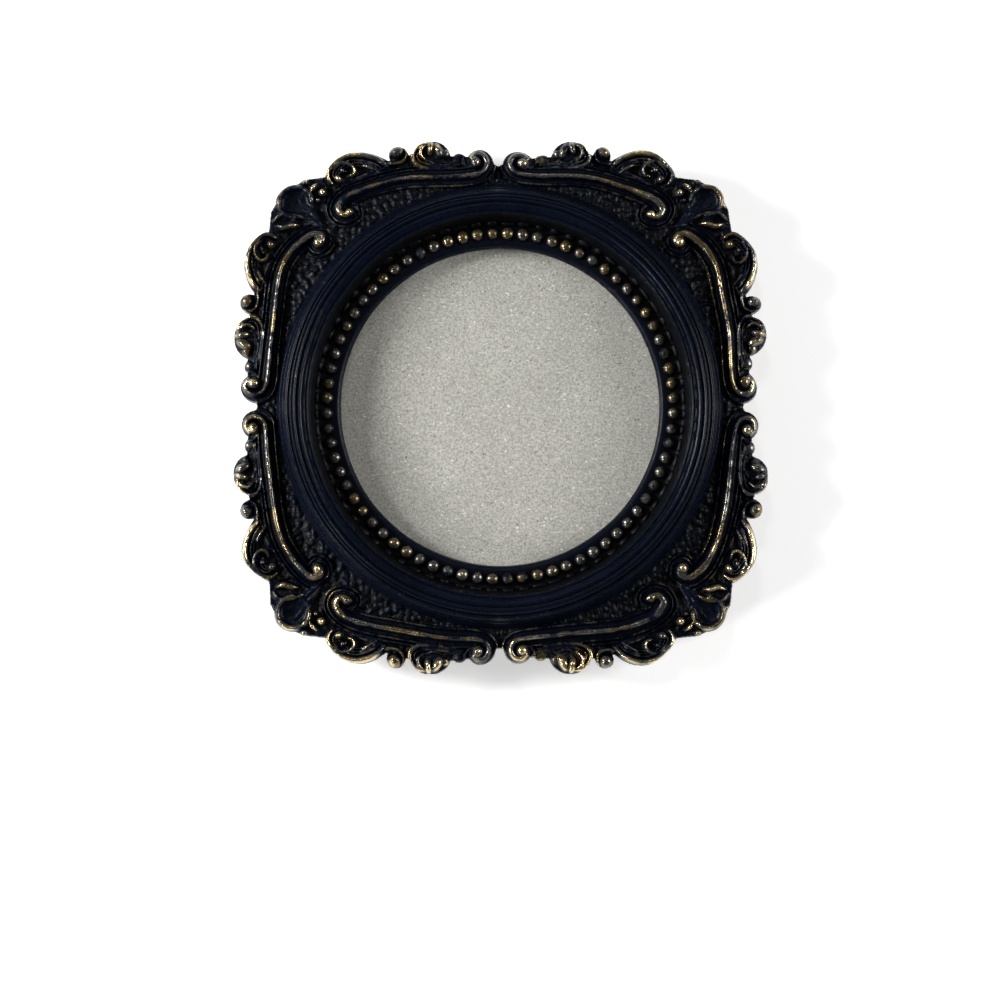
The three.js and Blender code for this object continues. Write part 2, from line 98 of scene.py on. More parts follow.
class WindowSizes(bpy.types.PropertyGroup):
    window_radius: length("Window radius", "Radius of the round opening", 35.5)
    bead_circle: length("Bead circle", "Radius of the circle the beads stand on", 38.5)
    bead_radius: length("Bead radius", "Radius of one bead", 1.42)
    bead_count: number("Beads", "Beads round the window", 72)
    tip_count: number("Leaf tips", "Leaf tips on the cove outside the beads", 72)
    cove_radius: length("Cove radius", "Radius of the cove's foot outside the beads", 40.4)
    ring_steps: number("Ring steps", "Facets round the moulding", 420)


class CarvingSizes(bpy.types.PropertyGroup):
    inner_radius: length("Inner radius", "Where the carved border starts under the moulding", 47.6)
    grain: length("Grain", "Spacing of the relief's samples", 0.1)
    wobble: length("Wobble", "How far hand work strays from true symmetry", 0.25)
    columns: number("Columns", "Mesh columns round one corner", 860)
    rows: number("Rows", "Mesh rows from the moulding to the outline", 92)


class Finishes(bpy.types.PropertyGroup):
    navy: colour("Navy paint", "Paint on the casting's face", "#050A17")
    # Deep navy is also painted shade, darkening the hollows and bead undersides, besides random pools
    navy_deep: colour("Deep navy", "Paint where it lies thick in the hollows", "#020306")
    gold: colour("Gold", "Antique gold wax where it is rubbed bright", "#C6B38A")
    thin_gold: colour("Thin gold", "Gold wax where it is thin and greyed by the paint", "#62605B")
    brown_gold: colour("Brown gold", "Gold wax where it is thin and has gone brown", "#706347")
    raw_resin: colour("Raw resin", "Unpainted resin along the back edge", "#6E5B49")
    chipboard: colour("Chipboard", "Grey backing card", "#BBB8B1")
    black_paper: colour("Black paper", "Covering of the easel board and leg", "#141416")
    nickel: colour("Nickel", "Plating on the hinge, rivets and screws", "#B9B6AE")
    blackened: colour("Blackened steel", "Turn buttons", "#2B2A29")
    floor: colour("Floor", "Table top", "#F4F4F4")


class StageSizes(bpy.types.PropertyGroup):
    view_elevation: FloatProperty(
        name="Elevation", description="Camera above the table", default=math.radians(85), subtype="ANGLE"
    )
    view_distance: length("Distance", "Camera to the frame's middle", 700)
    below_middle: length("Aim", "How far below the frame's middle the camera aims", 20.87)
    lens: FloatProperty(name="Lens", description="Focal length in millimetres", default=113.2)


# Nodes

# What every node of a kind is given here, unless a call says otherwise
USUAL = {
    "Mix": {"data_type": "RGBA"},
    "MapRange": {"interpolation_type": "SMOOTHSTEP"},
    "TexNoise": {"Detail": 3.0, "Roughness": 0.55},
}


def wire(tree, node, *values, **named):
    """Set or link a node's inputs, in their order or by name with _ for a space."""
    sockets = [socket for socket in node.inputs if socket.enabled]
    by_name = {socket.name.replace(" ", "_"): socket for socket in sockets}
    pairs = list(zip(sockets, values)) + [(by_name[name], value) for name, value in named.items()]
    for socket, value in pairs:
        if isinstance(value, bpy.types.NodeSocket):
            tree.links.new(value, socket)
        elif socket.type == "RGBA":
            socket.default_value = (*value, 1)
        else:
            socket.default_value = value


def add(tree, kind, *values, output=None, **named):
    """Add a node and give its first output, or the one that is named.

    Values and the names with a capital go to its inputs, and the other names are its settings.
    """
    node = tree.nodes.new(kind if "Node" in kind else "ShaderNode" + kind)
    given = {**USUAL.get(kind, {}), **named}
    for name, value in given.items():
        if name.islower():
            setattr(node, name, value)
    wire(tree, node, *values, **{name: value for name, value in given.items() if not name.islower()})
    return node.outputs[output] if output else next(out for out in node.outputs if out.enabled)


def per(millimetres):
    """A texture scale with features that many millimetres wide, on Object coordinates in metres."""
    return 1 / (millimetres * MM)


def see_through(tree, shader, where):
    """Let light straight through a surface, as far as the socket says."""
    clear = add(tree, "BsdfTransparent")
    mix = add(tree, "MixShader", where, shader.outputs[0], clear)
    tree.links.new(mix, tree.nodes["Material Output"].inputs["Surface"])


def material(surface):
    """The material that surface(tree, shader, finishes) sets up, under that function's name."""
    name = surface.__name__
    if name in bpy.data.materials:
        return bpy.data.materials[name]
    made = bpy.data.materials.new(name)
    made.use_nodes = True
    tree = made.node_tree
    surface(tree, tree.nodes["Principled BSDF"], bpy.context.scene.finishes)
    return made


# Finishes


def rubbed_resin(tree, shader, finishes):
    """Cast polyresin brushed with navy acrylic and rubbed with gold wax.

    The paint has a soft sheen, a little duller in the hollows. Its colour carries painted shade: it is
    darker in the hollows and low places and on the lower sides of the beads, and darker too where it
    pools at random. The wax takes on what stands up, grey or brown where it is thin, and the bare
    resin shows along the back edge.
    """
    place = add(tree, "TexCoord", output="Object")
    rub = add(tree, "Attribute", attribute_name="rub", output="Fac")
    hollow = add(tree, "Attribute", attribute_name="hollow", output="Fac")
    # Width of the features in mm, and detail
    grains = ((2.4, 4.0), (0.5, 3.0), (1.6, 3.0), (7.0, 3.0), (10.0, 3.0), (0.8, 3.0), (1.1, 4.0))
    patchy, speckled, ragged, pooled, browned, gritty, brushed = (
        add(tree, "TexNoise", Vector=place, Scale=per(width), Detail=detail) for width, detail in grains
    )

    patch_share, speck_share = 0.9, 0.55
    grain = add(tree, "Math", patchy, patch_share, operation="MULTIPLY")
    grain = add(tree, "Math", speckled, speck_share, grain, operation="MULTIPLY_ADD")
    uneven = add(tree, "Math", grain, (patch_share + speck_share) / 2, operation="SUBTRACT")
    worn = add(tree, "Math", rub, uneven, operation="ADD")
    thin = add(tree, "MapRange", worn, 0.18, 0.52)
    bright = add(tree, "MapRange", worn, 0.66, 0.9)

    paint_ends = add(tree, "Math", ragged, 0.9 * MM, (BACK + 0.75) * MM, operation="MULTIPLY_ADD")
    height = add(tree, "SeparateXYZ", Vector=place, output="Z")
    below = add(tree, "Math", paint_ends, height, operation="SUBTRACT")
    bare = add(tree, "MapRange", below, -0.1 * MM, 0.15 * MM)
    covered = add(tree, "Math", 1.0, bare, operation="SUBTRACT")

    pools = add(tree, "MapRange", pooled, 0.35, 0.75, 0.0, 0.5)
    # Painted shade: the hollow value darkens the paint towards deep navy, as do random pools
    thickness = add(tree, "Math", hollow, pools, operation="MAXIMUM")
    paint = add(tree, "Mix", thickness, finishes.navy, finishes.navy_deep)
    brown = add(tree, "MapRange", browned, 0.47, 0.6)
    film = add(tree, "Mix", brown, finishes.thin_gold, finishes.brown_gold)
    face = add(tree, "Mix", bright, add(tree, "Mix", thin, paint, film), finishes.gold)
    resin = add(tree, "Mix", gritty, finishes.raw_resin, finishes.navy_deep)

    sheen = add(tree, "MapRange", brushed, 0.3, 0.7, 0.25, 0.37)
    sheen = add(tree, "Math", hollow, 0.2, sheen, operation="MULTIPLY_ADD")
    sheen = add(tree, "Math", thin, -0.12, sheen, operation="MULTIPLY_ADD")
    dull = add(tree, "Math", bare, 0.85, operation="MULTIPLY")
    metal = add(tree, "Math", thin, 0.85, operation="MULTIPLY")
    fine = add(tree, "TexNoise", Vector=place, Scale=per(0.35), Detail=2.0)
    strokes = add(tree, "Math", fine, add(tree, "TexNoise", Vector=place, Scale=per(1.3)), operation="ADD")
    wire(
        tree,
        shader,
        Base_Color=add(tree, "Mix", bare, face, resin),
        Metallic=add(tree, "Math", metal, covered, operation="MULTIPLY"),
        Roughness=add(tree, "Math", sheen, dull, operation="MAXIMUM"),
        Specular_IOR_Level=0.11,
        Normal=add(tree, "Bump", Height=strokes, Distance=0.04 * MM, Strength=0.8),
    )


def pressed_greyboard(tree, shader, finishes):
    """Board pressed from waste paper: matt grey, with pale and dark fibres in it."""
    place = add(tree, "TexCoord", output="Object")
    clouds = add(tree, "TexNoise", Vector=place, Scale=per(9.0))
    mottle = add(tree, "TexNoise", Vector=place, Scale=per(0.5), Detail=4.0, Roughness=0.65)
    pressed = add(tree, "TexNoise", Vector=place, Scale=per(0.4), Detail=4.0, Roughness=0.7)
    # Fibres, stretched across or along the card
    pale, dark = (
        add(
            tree,
            "TexNoise",
            Vector=add(tree, "Mapping", Vector=place, Scale=stretch),
            Scale=per(width),
            Detail=2.0,
            Roughness=0.5,
        )
        for width, stretch in ((0.75, (1, 1.6, 1)), (0.6, (1.5, 1, 1)))
    )
    shade = tuple(0.9 * c for c in finishes.chipboard)
    pulp = add(tree, "Mix", add(tree, "MapRange", clouds, 0.3, 0.7), shade, finishes.chipboard)
    pulp = add(tree, "Mix", add(tree, "MapRange", mottle, 0.36, 0.64, 0.0, 0.9), pulp, linear("#908F87"))
    pulp = add(tree, "Mix", add(tree, "MapRange", pale, 0.645, 0.74, 0.0, 0.9), pulp, linear("#E6E4D9"))
    pulp = add(tree, "Mix", add(tree, "MapRange", dark, 0.665, 0.71), pulp, linear("#63625C"))
    bump = add(tree, "Bump", Height=pressed, Distance=0.06 * MM, Strength=0.6)
    wire(tree, shader, Base_Color=pulp, Roughness=0.95, Normal=bump)


def black_paper_board(tree, shader, finishes):
    """Board covered in black leather-grained paper: nearly matt, with a fine raised grain."""
    place = add(tree, "TexCoord", output="Object")
    cells = add(tree, "TexVoronoi", Vector=place, Scale=per(0.7), feature="DISTANCE_TO_EDGE")
    scuffs = add(tree, "TexNoise", Vector=place, Scale=per(5.0), Detail=5.0, Roughness=0.7)
    scuffed = add(tree, "MapRange", scuffs, 0.55, 0.8, 0.0, 0.18)
    handled = add(tree, "TexNoise", Vector=place, Scale=per(3.0))
    pebble = add(tree, "MapRange", cells, 0.0, 0.3)
    wire(
        tree,
        shader,
        Base_Color=add(tree, "Mix", scuffed, finishes.black_paper, linear("#2C2C2F")),
        Roughness=add(tree, "MapRange", handled, 0.3, 0.7, 0.55, 0.72),
        Normal=add(tree, "Bump", Height=pebble, Distance=0.05 * MM, Strength=0.8),
    )


def nickel_plate(tree, shader, finishes):
    """Nickel plated steel strip: bright, with fine rolling marks and a few dull spots."""
    place = add(tree, "TexCoord", output="Object")
    across = add(tree, "Mapping", Vector=place, Scale=(1, 12, 1))
    rolled = add(tree, "TexNoise", Vector=across, Scale=per(1.2), Roughness=0.6)
    spots = add(tree, "MapRange", add(tree, "TexNoise", Vector=place, Scale=per(2.5)), 0.5, 0.75)
    wire(
        tree,
        shader,
        Base_Color=add(tree, "Mix", spots, finishes.nickel, linear("#A3A096")),
        Metallic=1.0,
        Roughness=add(tree, "MapRange", rolled, 0.3, 0.7, 0.22, 0.4),
        Normal=add(tree, "Bump", Height=rolled, Distance=0.02 * MM, Strength=0.5),
    )


def oil_blackened_steel(tree, shader, finishes):
    """Steel blackened in an oil bath: dark and satin, worn a little paler in patches."""
    place = add(tree, "TexCoord", output="Object")
    wear, film, grit = (
        add(tree, "TexNoise", Vector=place, Scale=per(width), Detail=detail)
        for width, detail in ((1.5, 4.0), (0.8, 4.0), (0.5, 3.0))
    )
    paler = add(tree, "MapRange", wear, 0.5, 0.75)
    wire(
        tree,
        shader,
        Base_Color=add(tree, "Mix", paler, finishes.blackened, linear("#4A4844")),
        Metallic=1.0,
        Roughness=add(tree, "MapRange", film, 0.3, 0.7, 0.35, 0.55),
        Normal=add(tree, "Bump", Height=grit, Distance=0.02 * MM, Strength=0.5),
    )


def float_glass(tree, shader, finishes):
    """Thin float glass: clear, faintly green, and open to the light that reaches the card."""
    place = add(tree, "TexCoord", output="Object")
    dust = add(tree, "TexNoise", Vector=place, Scale=per(14.0), Detail=4.0)
    wire(
        tree,
        shader,
        Base_Color=linear("#FBFDFC"),
        Transmission_Weight=1.0,
        IOR=1.5,
        Roughness=add(tree, "MapRange", dust, 0.4, 0.8, 0.0, 0.03),
    )
    shadow, diffuse = (add(tree, "LightPath", output=f"Is {ray} Ray") for ray in ("Shadow", "Diffuse"))
    see_through(tree, shader, add(tree, "Math", shadow, diffuse, operation="MAXIMUM"))


def pale_floor(tree, shader, finishes):
    """A matt pale table top that fades out far from the frame, and is clear from below."""
    place = add(tree, "TexCoord", output="Object")
    camera, glossy, through = (
        add(tree, "LightPath", output=f"Is {ray} Ray") for ray in ("Camera", "Glossy", "Transmission")
    )
    shown = add(tree, "Math", camera, glossy, operation="MAXIMUM")
    shown = add(tree, "Math", shown, through, operation="MAXIMUM")
    # Lights up the floor where it is seen, so that it shows white
    glow = add(tree, "Math", shown, 0.38, operation="MULTIPLY")
    wire(tree, shader, Base_Color=finishes.floor, Roughness=0.9)
    wire(tree, shader, Emission_Color=linear("#FFFFFF"), Emission_Strength=glow)
    away = add(tree, "VectorMath", place, operation="LENGTH")
    far = add(tree, "MapRange", away, 0.45, 0.95)
    underside = add(tree, "NewGeometry", output="Backfacing")
    see_through(tree, shader, add(tree, "Math", far, underside, operation="MAXIMUM"))


# The carved relief, worked in millimetres: x and y from the window's centre, heights from the
# casting's back. One eighth of the frame is described, with u along the side from its middle and v
# outwards, and the rest is folded onto it.


FAR = 1e3


def arc(x, y, radius, start, end, steps):
    """Points along an arc, between two angles in radians."""
    return [(x + radius * math.cos(a), y + radius * math.sin(a)) for a in np.linspace(start, end, steps)]


def smooth_curve(points, step=0.25):
    """A smooth path through the points, with a place about every step."""
    p = np.array(points, float)
    p = np.vstack([2 * p[0] - p[1], p, 2 * p[-1] - p[-2]])
    stretches = []
    for a, b, c, d in zip(p[:-3], p[1:-2], p[2:-1], p[3:]):
        count = max(2, int(np.hypot(*(c - b)) / step))
        t = np.linspace(0, 1, count, endpoint=False)[:, None]
        bend = (2 * a - 5 * b + 4 * c - d) * t**2 + (3 * b - a - 3 * c + d) * t**3
        stretches.append(0.5 * (2 * b + (c - a) * t + bend))
    return np.vstack([*stretches, p[-2][None]])


def between(grid, ix, iy, fx, fy):
    """A grid's value at a share of the way from one of its samples to the next."""
    near = grid[ix, iy] * (1 - fx) + grid[ix + 1, iy] * fx
    far = grid[ix, iy + 1] * (1 - fx) + grid[ix + 1, iy + 1] * fx
    return near * (1 - fy) + far * fy


# Cells across a table of random numbers, which repeats beyond them
CELLS = 256


def cells_at(x, y, cell):
    """Places counted in cells, and the whole cell that each lies in."""
    gx, gy = x / cell + CELLS / 2, y / cell + CELLS / 2
    return gx, gy, np.floor(gx).astype(int), np.floor(gy).astype(int)


def value_noise(x, y, cell, seed):
    """Smooth noise from -1 to 1, with lumps about one cell wide."""
    table = np.random.default_rng(seed).random((CELLS, CELLS)) * 2 - 1
    gx, gy, ix, iy = cells_at(x, y, cell)
    fx, fy = gx - ix, gy - iy
    fx, fy = fx * fx * (3 - 2 * fx), fy * fy * (3 - 2 * fy)
    return between(table, ix % (CELLS - 1), iy % (CELLS - 1), fx, fy)


def pebbles(x, y, cell, seed, margin=0.15, radius=0.55):
    """Rounded pebbles, one at a random place in each cell: 1 on top of each, 0 in the gaps."""
    shift = margin + (1 - 2 * margin) * np.random.default_rng(seed).random((CELLS, CELLS, 2))
    gx, gy, ix, iy = cells_at(x, y, cell)
    nearest = np.full(x.shape, FAR)
    for ox in (-1, 0, 1):
        for oy in (-1, 0, 1):
            jx, jy = shift[(ix + ox) % CELLS, (iy + oy) % CELLS].T
            nearest = np.minimum(nearest, np.hypot(gx - ix - ox - jx, gy - iy - oy - jy))
    return np.sqrt(np.clip(1 - (nearest / radius) ** 2, 0, 1))


def hand_wobble(x, y, much):
    """Move places a little, so that no two scrolls come out quite alike."""
    # The drawing is a little larger than the frame
    x, y = 1.005 * x, 1.005 * y
    wx = np.sin(0.21 * x + 0.13 * y + 0.9) + 0.6 * np.sin(0.33 * y - 0.17 * x + 2.1)
    wy = np.sin(0.19 * y - 0.15 * x + 4.0) + 0.6 * np.sin(0.31 * x + 0.12 * y + 5.2)
    return x + much * wx, y + much * wy


def folded(x, y):
    """Places of the whole frame brought onto its one described eighth."""
    return np.minimum(np.abs(x), np.abs(y)), np.maximum(np.abs(x), np.abs(y))


# Paths, points and radii on the described eighth
SIDE_CURL = [(6.1, 55.6), (5.0, 56.5), (3.4, 56.1), (2.6, 54.4), (3.4, 52.7), (5.6, 51.9)]
RAIL = [*SIDE_CURL, (9.5, 51.5), (15, 51.2), (21, 50.6), (26.5, 49.6), (30.6, 48.5)]
# The rail's other end, on the sides and along the top and bottom
UPRIGHT_HOOK = [
    (33.4, 47.1), (35.5, 45.6), (37.2, 43.6), (38.2, 41.7), (37.7, 40.1), (36.5, 39.8), (35.9, 40.5),
]
LEVEL_HOOK = [(33.6, 47.3), (35.6, 45.8), (36.5, 44.2), (35.9, 42.9), (34.5, 42.6), (33.4, 43.2)]
SIDE_EYE = (5.2, 54.7)
FIELD_END = 46.4
FIELD_EDGE = [
    (0, 54.2), (1, 54.5), (7.2, 56.2), (11, 56.4), (20, 56.5), (25.2, 55.2), (39.4, 51.8), (44.2, 51.2),
    (45.3, 50.5), (FIELD_END, 50),
]
SHELL, SHELL_LONG, SHELL_SHORT = (15.6, 56.0), 4.3, 3.7
# Round parts: the middle and the radius
BUD = (9.3, 55.2), 1.75
PEARL = (23.0, 56.4), 2.0
SIDE_SCROLL = (4.3, 54.35), 3.35
HOOD = (45.95, 45.95), 4.25
ACANTHUS_EDGE = [
    (24.9, 55.0), (26.4, 56.0), (28.2, 56.9), (30.6, 57.5), (33.2, 57.4), (35.5, 56.5), (37.4, 55.0),
    (38.8, 53.2), (39.5, 51.6),
]
ACANTHUS_START, ACANTHUS_END = 25, 39.5
# Radius, and height of the plain ground that the carving stands on
GROUND = [(47, 8.1), (49, 7.55), (52.5, 6.5), (58, 5.4), (66, 4.9)]


def from_point(u, v, place):
    """Distance from a point."""
    return np.hypot(u - place[0], v - place[1])


def in_outline(u, v):
    """Whether places of the described eighth lie on the casting."""
    edge_u, edge_v = np.array(FIELD_EDGE).T
    on = (u < FIELD_END) & (v < np.interp(u, edge_u, edge_v))
    for at, radius in (SIDE_SCROLL, BUD, PEARL, HOOD):
        on |= from_point(u, v, at) < radius
    on |= ((u - SHELL[0]) / SHELL_LONG) ** 2 + ((v - SHELL[1]) / SHELL_SHORT) ** 2 < 1
    leaf = smooth_curve(ACANTHUS_EDGE)
    on |= (u > ACANTHUS_START) & (u < ACANTHUS_END) & (v < np.interp(u, leaf[:, 0], leaf[:, 1]))
    return on


class Clay:
    """The places being carved, folded onto the described eighth, and the height built up on each."""

    def __init__(self, x, y, wobble):
        self.x, self.y = x, y
        self.u, self.v = folded(*hand_wobble(x, y, wobble))
        self.upright = np.abs(self.x) > np.abs(self.y)
        self.radius = np.hypot(x, y)
        self.ground = np.interp(self.radius, *zip(*GROUND))
        self.height = self.ground.copy()
        self.gilt = np.zeros(x.shape)

    def build(self, where, height, gilt=0.0):
        """Add clay up to a height, with wax rubbed on what shows of it."""
        shows = where & (height > self.height)
        self.height = np.where(shows, height, self.height)
        self.gilt = np.where(shows, gilt, self.gilt)

    def along(self, points, reach):
        """Distance from a path (+ on its left) and the length run along it, where within reach."""
        path = smooth_curve(points)
        away, run = np.full(self.u.shape, FAR), np.zeros(self.u.shape)
        low, high = path.min(0) - reach, path.max(0) + reach
        near = (self.u > low[0]) & (self.u < high[0]) & (self.v > low[1]) & (self.v < high[1])
        u, v = self.u[near], self.v[near]
        best, signed, best_run = np.full(u.shape, FAR), np.zeros(u.shape), np.zeros(u.shape)
        done = 0.0
        for (au, av), (bu, bv) in zip(path[:-1], path[1:]):
            du, dv = bu - au, bv - av
            stretch = math.hypot(du, dv)
            t = np.clip(((u - au) * du + (v - av) * dv) / stretch**2, 0, 1)
            eu, ev = u - au - t * du, v - av - t * dv
            distance = np.hypot(eu, ev)
            closer = distance < best
            best = np.where(closer, distance, best)
            signed = np.where(closer, np.where(du * ev - dv * eu >= 0, distance, -distance), signed)
            best_run = np.where(closer, done + t * stretch, best_run)
            done += stretch
        away[near], run[near] = signed, best_run
        return away, run, done

    def roll(self, points, half, top, foot, taper=1.5, gilt=0.3, where=True):
        """A rounded ridge along a path, thinning at both ends."""
        away, run, total = self.along(points, half)
        thin = 0.45 + 0.55 * np.clip(np.minimum(run, total - run) / taper, 0, 1)
        arch = np.clip(1 - (away / (half * thin)) ** 2, 0, 1)
        height = foot + (top - foot) * np.sqrt(arch) * (0.4 + 0.6 * thin)
        self.build(where & (arch > 0), height, gilt * arch**2)

    def lines(self, points, lines, foot, half=0.27, gilt=0.35):
        """Fine ridges beside a path, each at its own distance and height."""
        away, run, total = self.along(points, max(abs(at) for at, top in lines) + half)
        fade = np.clip(np.minimum(run, total - run) / 1.5, 0, 1)
        for at, top in lines:
            arch = np.clip(1 - ((away - at) / half) ** 2, 0, 1) * fade
            self.build(arch > 0, foot + (top - foot) * np.sqrt(arch), gilt * arch)

    def ball(self, at, radius, top, foot, squash=1.0, turn=0.0, gilt=0.3, where=True):
        """A dome, squashed across a line turned by that many degrees."""
        c, s = math.cos(math.radians(turn)), math.sin(math.radians(turn))
        du, dv = self.u - at[0], self.v - at[1]
        along, across = (du * c + dv * s) / radius, (dv * c - du * s) / (radius * squash)
        arch = np.clip(1 - along**2 - across**2, 0, 1)
        self.build(where & (arch > 0), foot + (top - foot) * np.sqrt(arch), gilt * arch)


def carve_rail(clay, hook, where):
    """The long scroll: a rolled rail along a flat band, with fine ridges beside it and an eye at its end."""
    away, run, total = clay.along(RAIL + hook, 3.2)
    away = np.where(where, away, FAR)
    rise = np.interp(run, [0, 6, 12, total - 10, total], [1.0, 1.15, 1.25, 1.3, 1.15])
    band = 0.7
    clay.build(np.abs(away) < 2.0, clay.ground + band * rise)
    for at, top in ((1.85, 1.15), (-1.95, 1.1), (2.7, 0.8)):
        arch = np.clip(1 - ((away - at) / 0.28) ** 2, 0, 1)
        clay.build(arch > 0, clay.ground + rise * (band + (top - band) * np.sqrt(arch)), 0.2 * arch)
    half = np.interp(run, [0, 4, 10, total - 14, total - 6, total], [0.75, 0.85, 0.8, 0.8, 1.2, 1.0])
    gilt = np.interp(run, [0, 8, 14, total - 14, total - 7, total], [1.0, 0.7, 0.38, 0.4, 0.75, 1.0])
    arch = np.clip(1 - (away / half) ** 2, 0, 1)
    clay.build(arch > 0, clay.ground + rise * (band + 1.55 * np.sqrt(arch)), gilt * arch**3.5)
    clay.ball(SIDE_EYE, 1.65, 8.9, 6.2, gilt=1.1)


def carve_rails(clay):
    """The pebbled ground, and a scroll laid on it each way."""
    clay.height += 0.2 * value_noise(clay.x, clay.y, 1.3, 7)
    clay.height += 0.42 * np.clip((clay.radius - 49.3) / 0.7, 0, 1) * pebbles(clay.x, clay.y, 1.5, 5)
    carve_rail(clay, UPRIGHT_HOOK, clay.upright)
    carve_rail(clay, LEVEL_HOOK, ~clay.upright)
    clay.ball((36.3, 40.5), 1.3, 9.6, 7.4, gilt=1.0, where=clay.upright)
    clay.ball((33.9, 43.1), 1.1, 9.2, 7.2, gilt=1.0, where=~clay.upright)


def carve_shell(clay):
    """The big round lobe beside the side scroll: a curled rim round a cluster of buds."""
    clay.ball(*BUD, 6.6, 5.2, gilt=0.4)
    clay.roll([(8.0, 53.6), (11, 54.6), (13, 55.2)], 0.5, 6.4, 5.4)
    clay.ball(SHELL, SHELL_LONG, 6.3, 5.1, SHELL_SHORT / SHELL_LONG)
    rim = [(9.5, 53.9), (13, 53.3), (17, 53.3), (19.4, 54.4), (19.9, 56.4), (18.6, 58.2), (16.2, 58.9)]
    clay.roll(rim, 0.7, 7.3, 5.3, gilt=0.45)
    clay.lines(rim, ((1.0, 7.0),), 6.0)
    clay.ball((14.1, 57.2), 2.2, 7.7, 5.4, 0.55, 62, gilt=0.9)
    clay.ball((16.0, 57.7), 1.9, 7.9, 5.4, 0.5, 100, gilt=0.8)
    clay.ball((12.6, 56.6), 1.2, 6.9, 5.4, gilt=0.4)
    clay.roll([(17.2, 55.2), (18.2, 56.4), (17.8, 57.9), (16.6, 58.6)], 0.6, 7.6, 5.6, gilt=0.6)
    clay.roll([(13.4, 54.9), (14.9, 54.6), (16.4, 55.2)], 0.45, 7.0, 5.4)


def carve_pearl(clay):
    """The small ball in its own curl."""
    clay.ball((23.2, 56.8), 1.55, 7.3, 5.2)
    clay.roll([(21.6, 57.9), (21.2, 56.2), (21.9, 54.9), (23.6, 54.3), (26, 54.3)], 0.5, 6.7, 5.3)


def carve_acanthus(clay):
    """The leaf that curls over beside the corner: a heavy rim, ribs, and a spiral in its heart."""
    edge = smooth_curve(ACANTHUS_EDGE)
    top = np.interp(clay.u, edge[:, 0], edge[:, 1])
    foot = np.interp(clay.u, [25, 30, 36, 39.6], [53.0, 51.9, 49.9, 49.6])
    leaf = (clay.u > ACANTHUS_START) & (clay.u < ACANTHUS_END + 0.1) & (clay.v < top) & (clay.v > foot)
    clay.build(leaf, 5.7)
    rim = [(25.6, 54.2), (27.2, 55.4), (29.6, 56.4), (32.4, 56.8), (35.2, 56.2), (37.3, 54.8)]
    rim += [(38.6, 53.0), (38.5, 51.2), (37.7, 50.0)]
    clay.roll(rim, 0.85, 7.8, 5.2, 3.0, gilt=0.62)
    clay.lines(rim, ((-1.2, 7.3), (-1.85, 6.9), (-2.5, 6.6)), 5.7)
    spiral = [(38.0, 53.0), (37.0, 54.2), (35.2, 55.0), (33.4, 54.6), (32.4, 53.4), (32.8, 52.2)]
    spiral += [(34.0, 51.8)]
    clay.roll(spiral, 0.5, 7.5, 5.6, gilt=0.4)
    clay.ball((36.3, 51.2), 1.15, 7.6, 5.6, 0.8, 30, gilt=0.65)
    clay.ball((35.2, 53.2), 0.7, 7.0, 5.6, gilt=0.3)
    clay.ball((34.3, 53.0), 0.4, 6.8, 5.6)
    for start, reach in (((31.6, 55.6), 1.5), ((30.6, 54.3), 1.1), ((28.6, 55.6), 1.0)):
        flame = [(start[0] - reach * k, start[1] - (0.3 + 0.1 * k) * k) for k in range(4)]
        clay.roll(flame, 0.5, 7.2, 5.5, 1.0, gilt=0.42)
    clay.roll([(24.6, 54.0), (27.2, 52.9), (30, 52.2), (33, 51.0)], 0.45, 6.5, 5.4)


def carve_corner(clay):
    """The corner: a ribbed leaf, small beads, a side curl, and the hollow hood on the diagonal."""
    root = (39.8, 40.6)
    fan = math.pi / 2 - np.arctan2(clay.v - root[1], clay.u - root[0])
    far = from_point(clay.u, clay.v, root)
    ribs = 0.35 * np.abs(np.cos(fan * 9)) * np.clip((far - 3) / 2, 0, 1)
    clay.build((far > 2) & (fan > -0.06) & (fan < 0.75) & (clay.v < 52), 5.5 + ribs)
    level, upright = ~clay.upright, clay.upright
    clay.ball((43.9, 50.5), 0.85, 7.1, 5.4, gilt=0.4, where=level)
    clay.roll([(44.5, 49.3), (43.7, 48.3), (42.8, 47.7)], 0.6, 7.6, 5.5, 1.0, gilt=0.95, where=level)
    clay.roll([(42.7, 48.0), (42.2, 49.0), (41.2, 50.0)], 0.65, 7.6, 5.5, 1.0, gilt=0.9, where=level)
    clay.ball((40.1, 47.9), 1.05, 7.9, 5.6, gilt=0.8, where=level)
    clay.ball((41.2, 46.2), 0.7, 7.2, 5.6, where=level)
    curl = [(41.7, 50.6), (43.0, 49.4), (43.3, 47.4), (42.9, 45.5), (41.6, 43.2)]
    clay.roll(curl, 0.5, 7.2, 5.4, gilt=0.4, where=upright)
    stem = [(40.7, 49.8), (40.2, 48.4), (40.6, 46.8), (40.6, 45.2)]
    clay.roll(stem, 0.75, 7.7, 5.5, 1.0, gilt=0.85, where=upright)
    clay.ball((42.0, 46.4), 0.7, 7.0, 5.6, where=upright)
    clay.ball((44.9, 50.0), 0.9, 6.8, 5.4, where=upright)

    middle, radius = HOOD
    distance = from_point(clay.u, clay.v, middle)
    clay.build(distance < radius - 0.4, 5.6 + 1.2 * (distance / radius) ** 2)
    lip = arc(*middle, radius - 0.8, math.radians(45), math.radians(195), 7)
    clay.roll([(lip[0][0] + 1, lip[0][1] - 1), *lip], 0.8, 7.3, 5.0, 1.0, gilt=0.22)
    along, across = (clay.u + clay.v) / math.sqrt(2), (clay.v - clay.u) / math.sqrt(2)
    half = np.interp(along, [56.5, 59, 61.5, 64.5], [0.6, 1.4, 2.4, 3.2])
    fold = np.clip(across / half, 0, 1)
    top = np.interp(along, [56.5, 60, 64.5], [7.1, 6.9, 5.6])
    top -= 0.8 * fold**2 + 0.25 * np.exp(-((fold / 0.2) ** 2))
    clay.build((along > 56.5) & (along < 64.5) & (across < half), top)


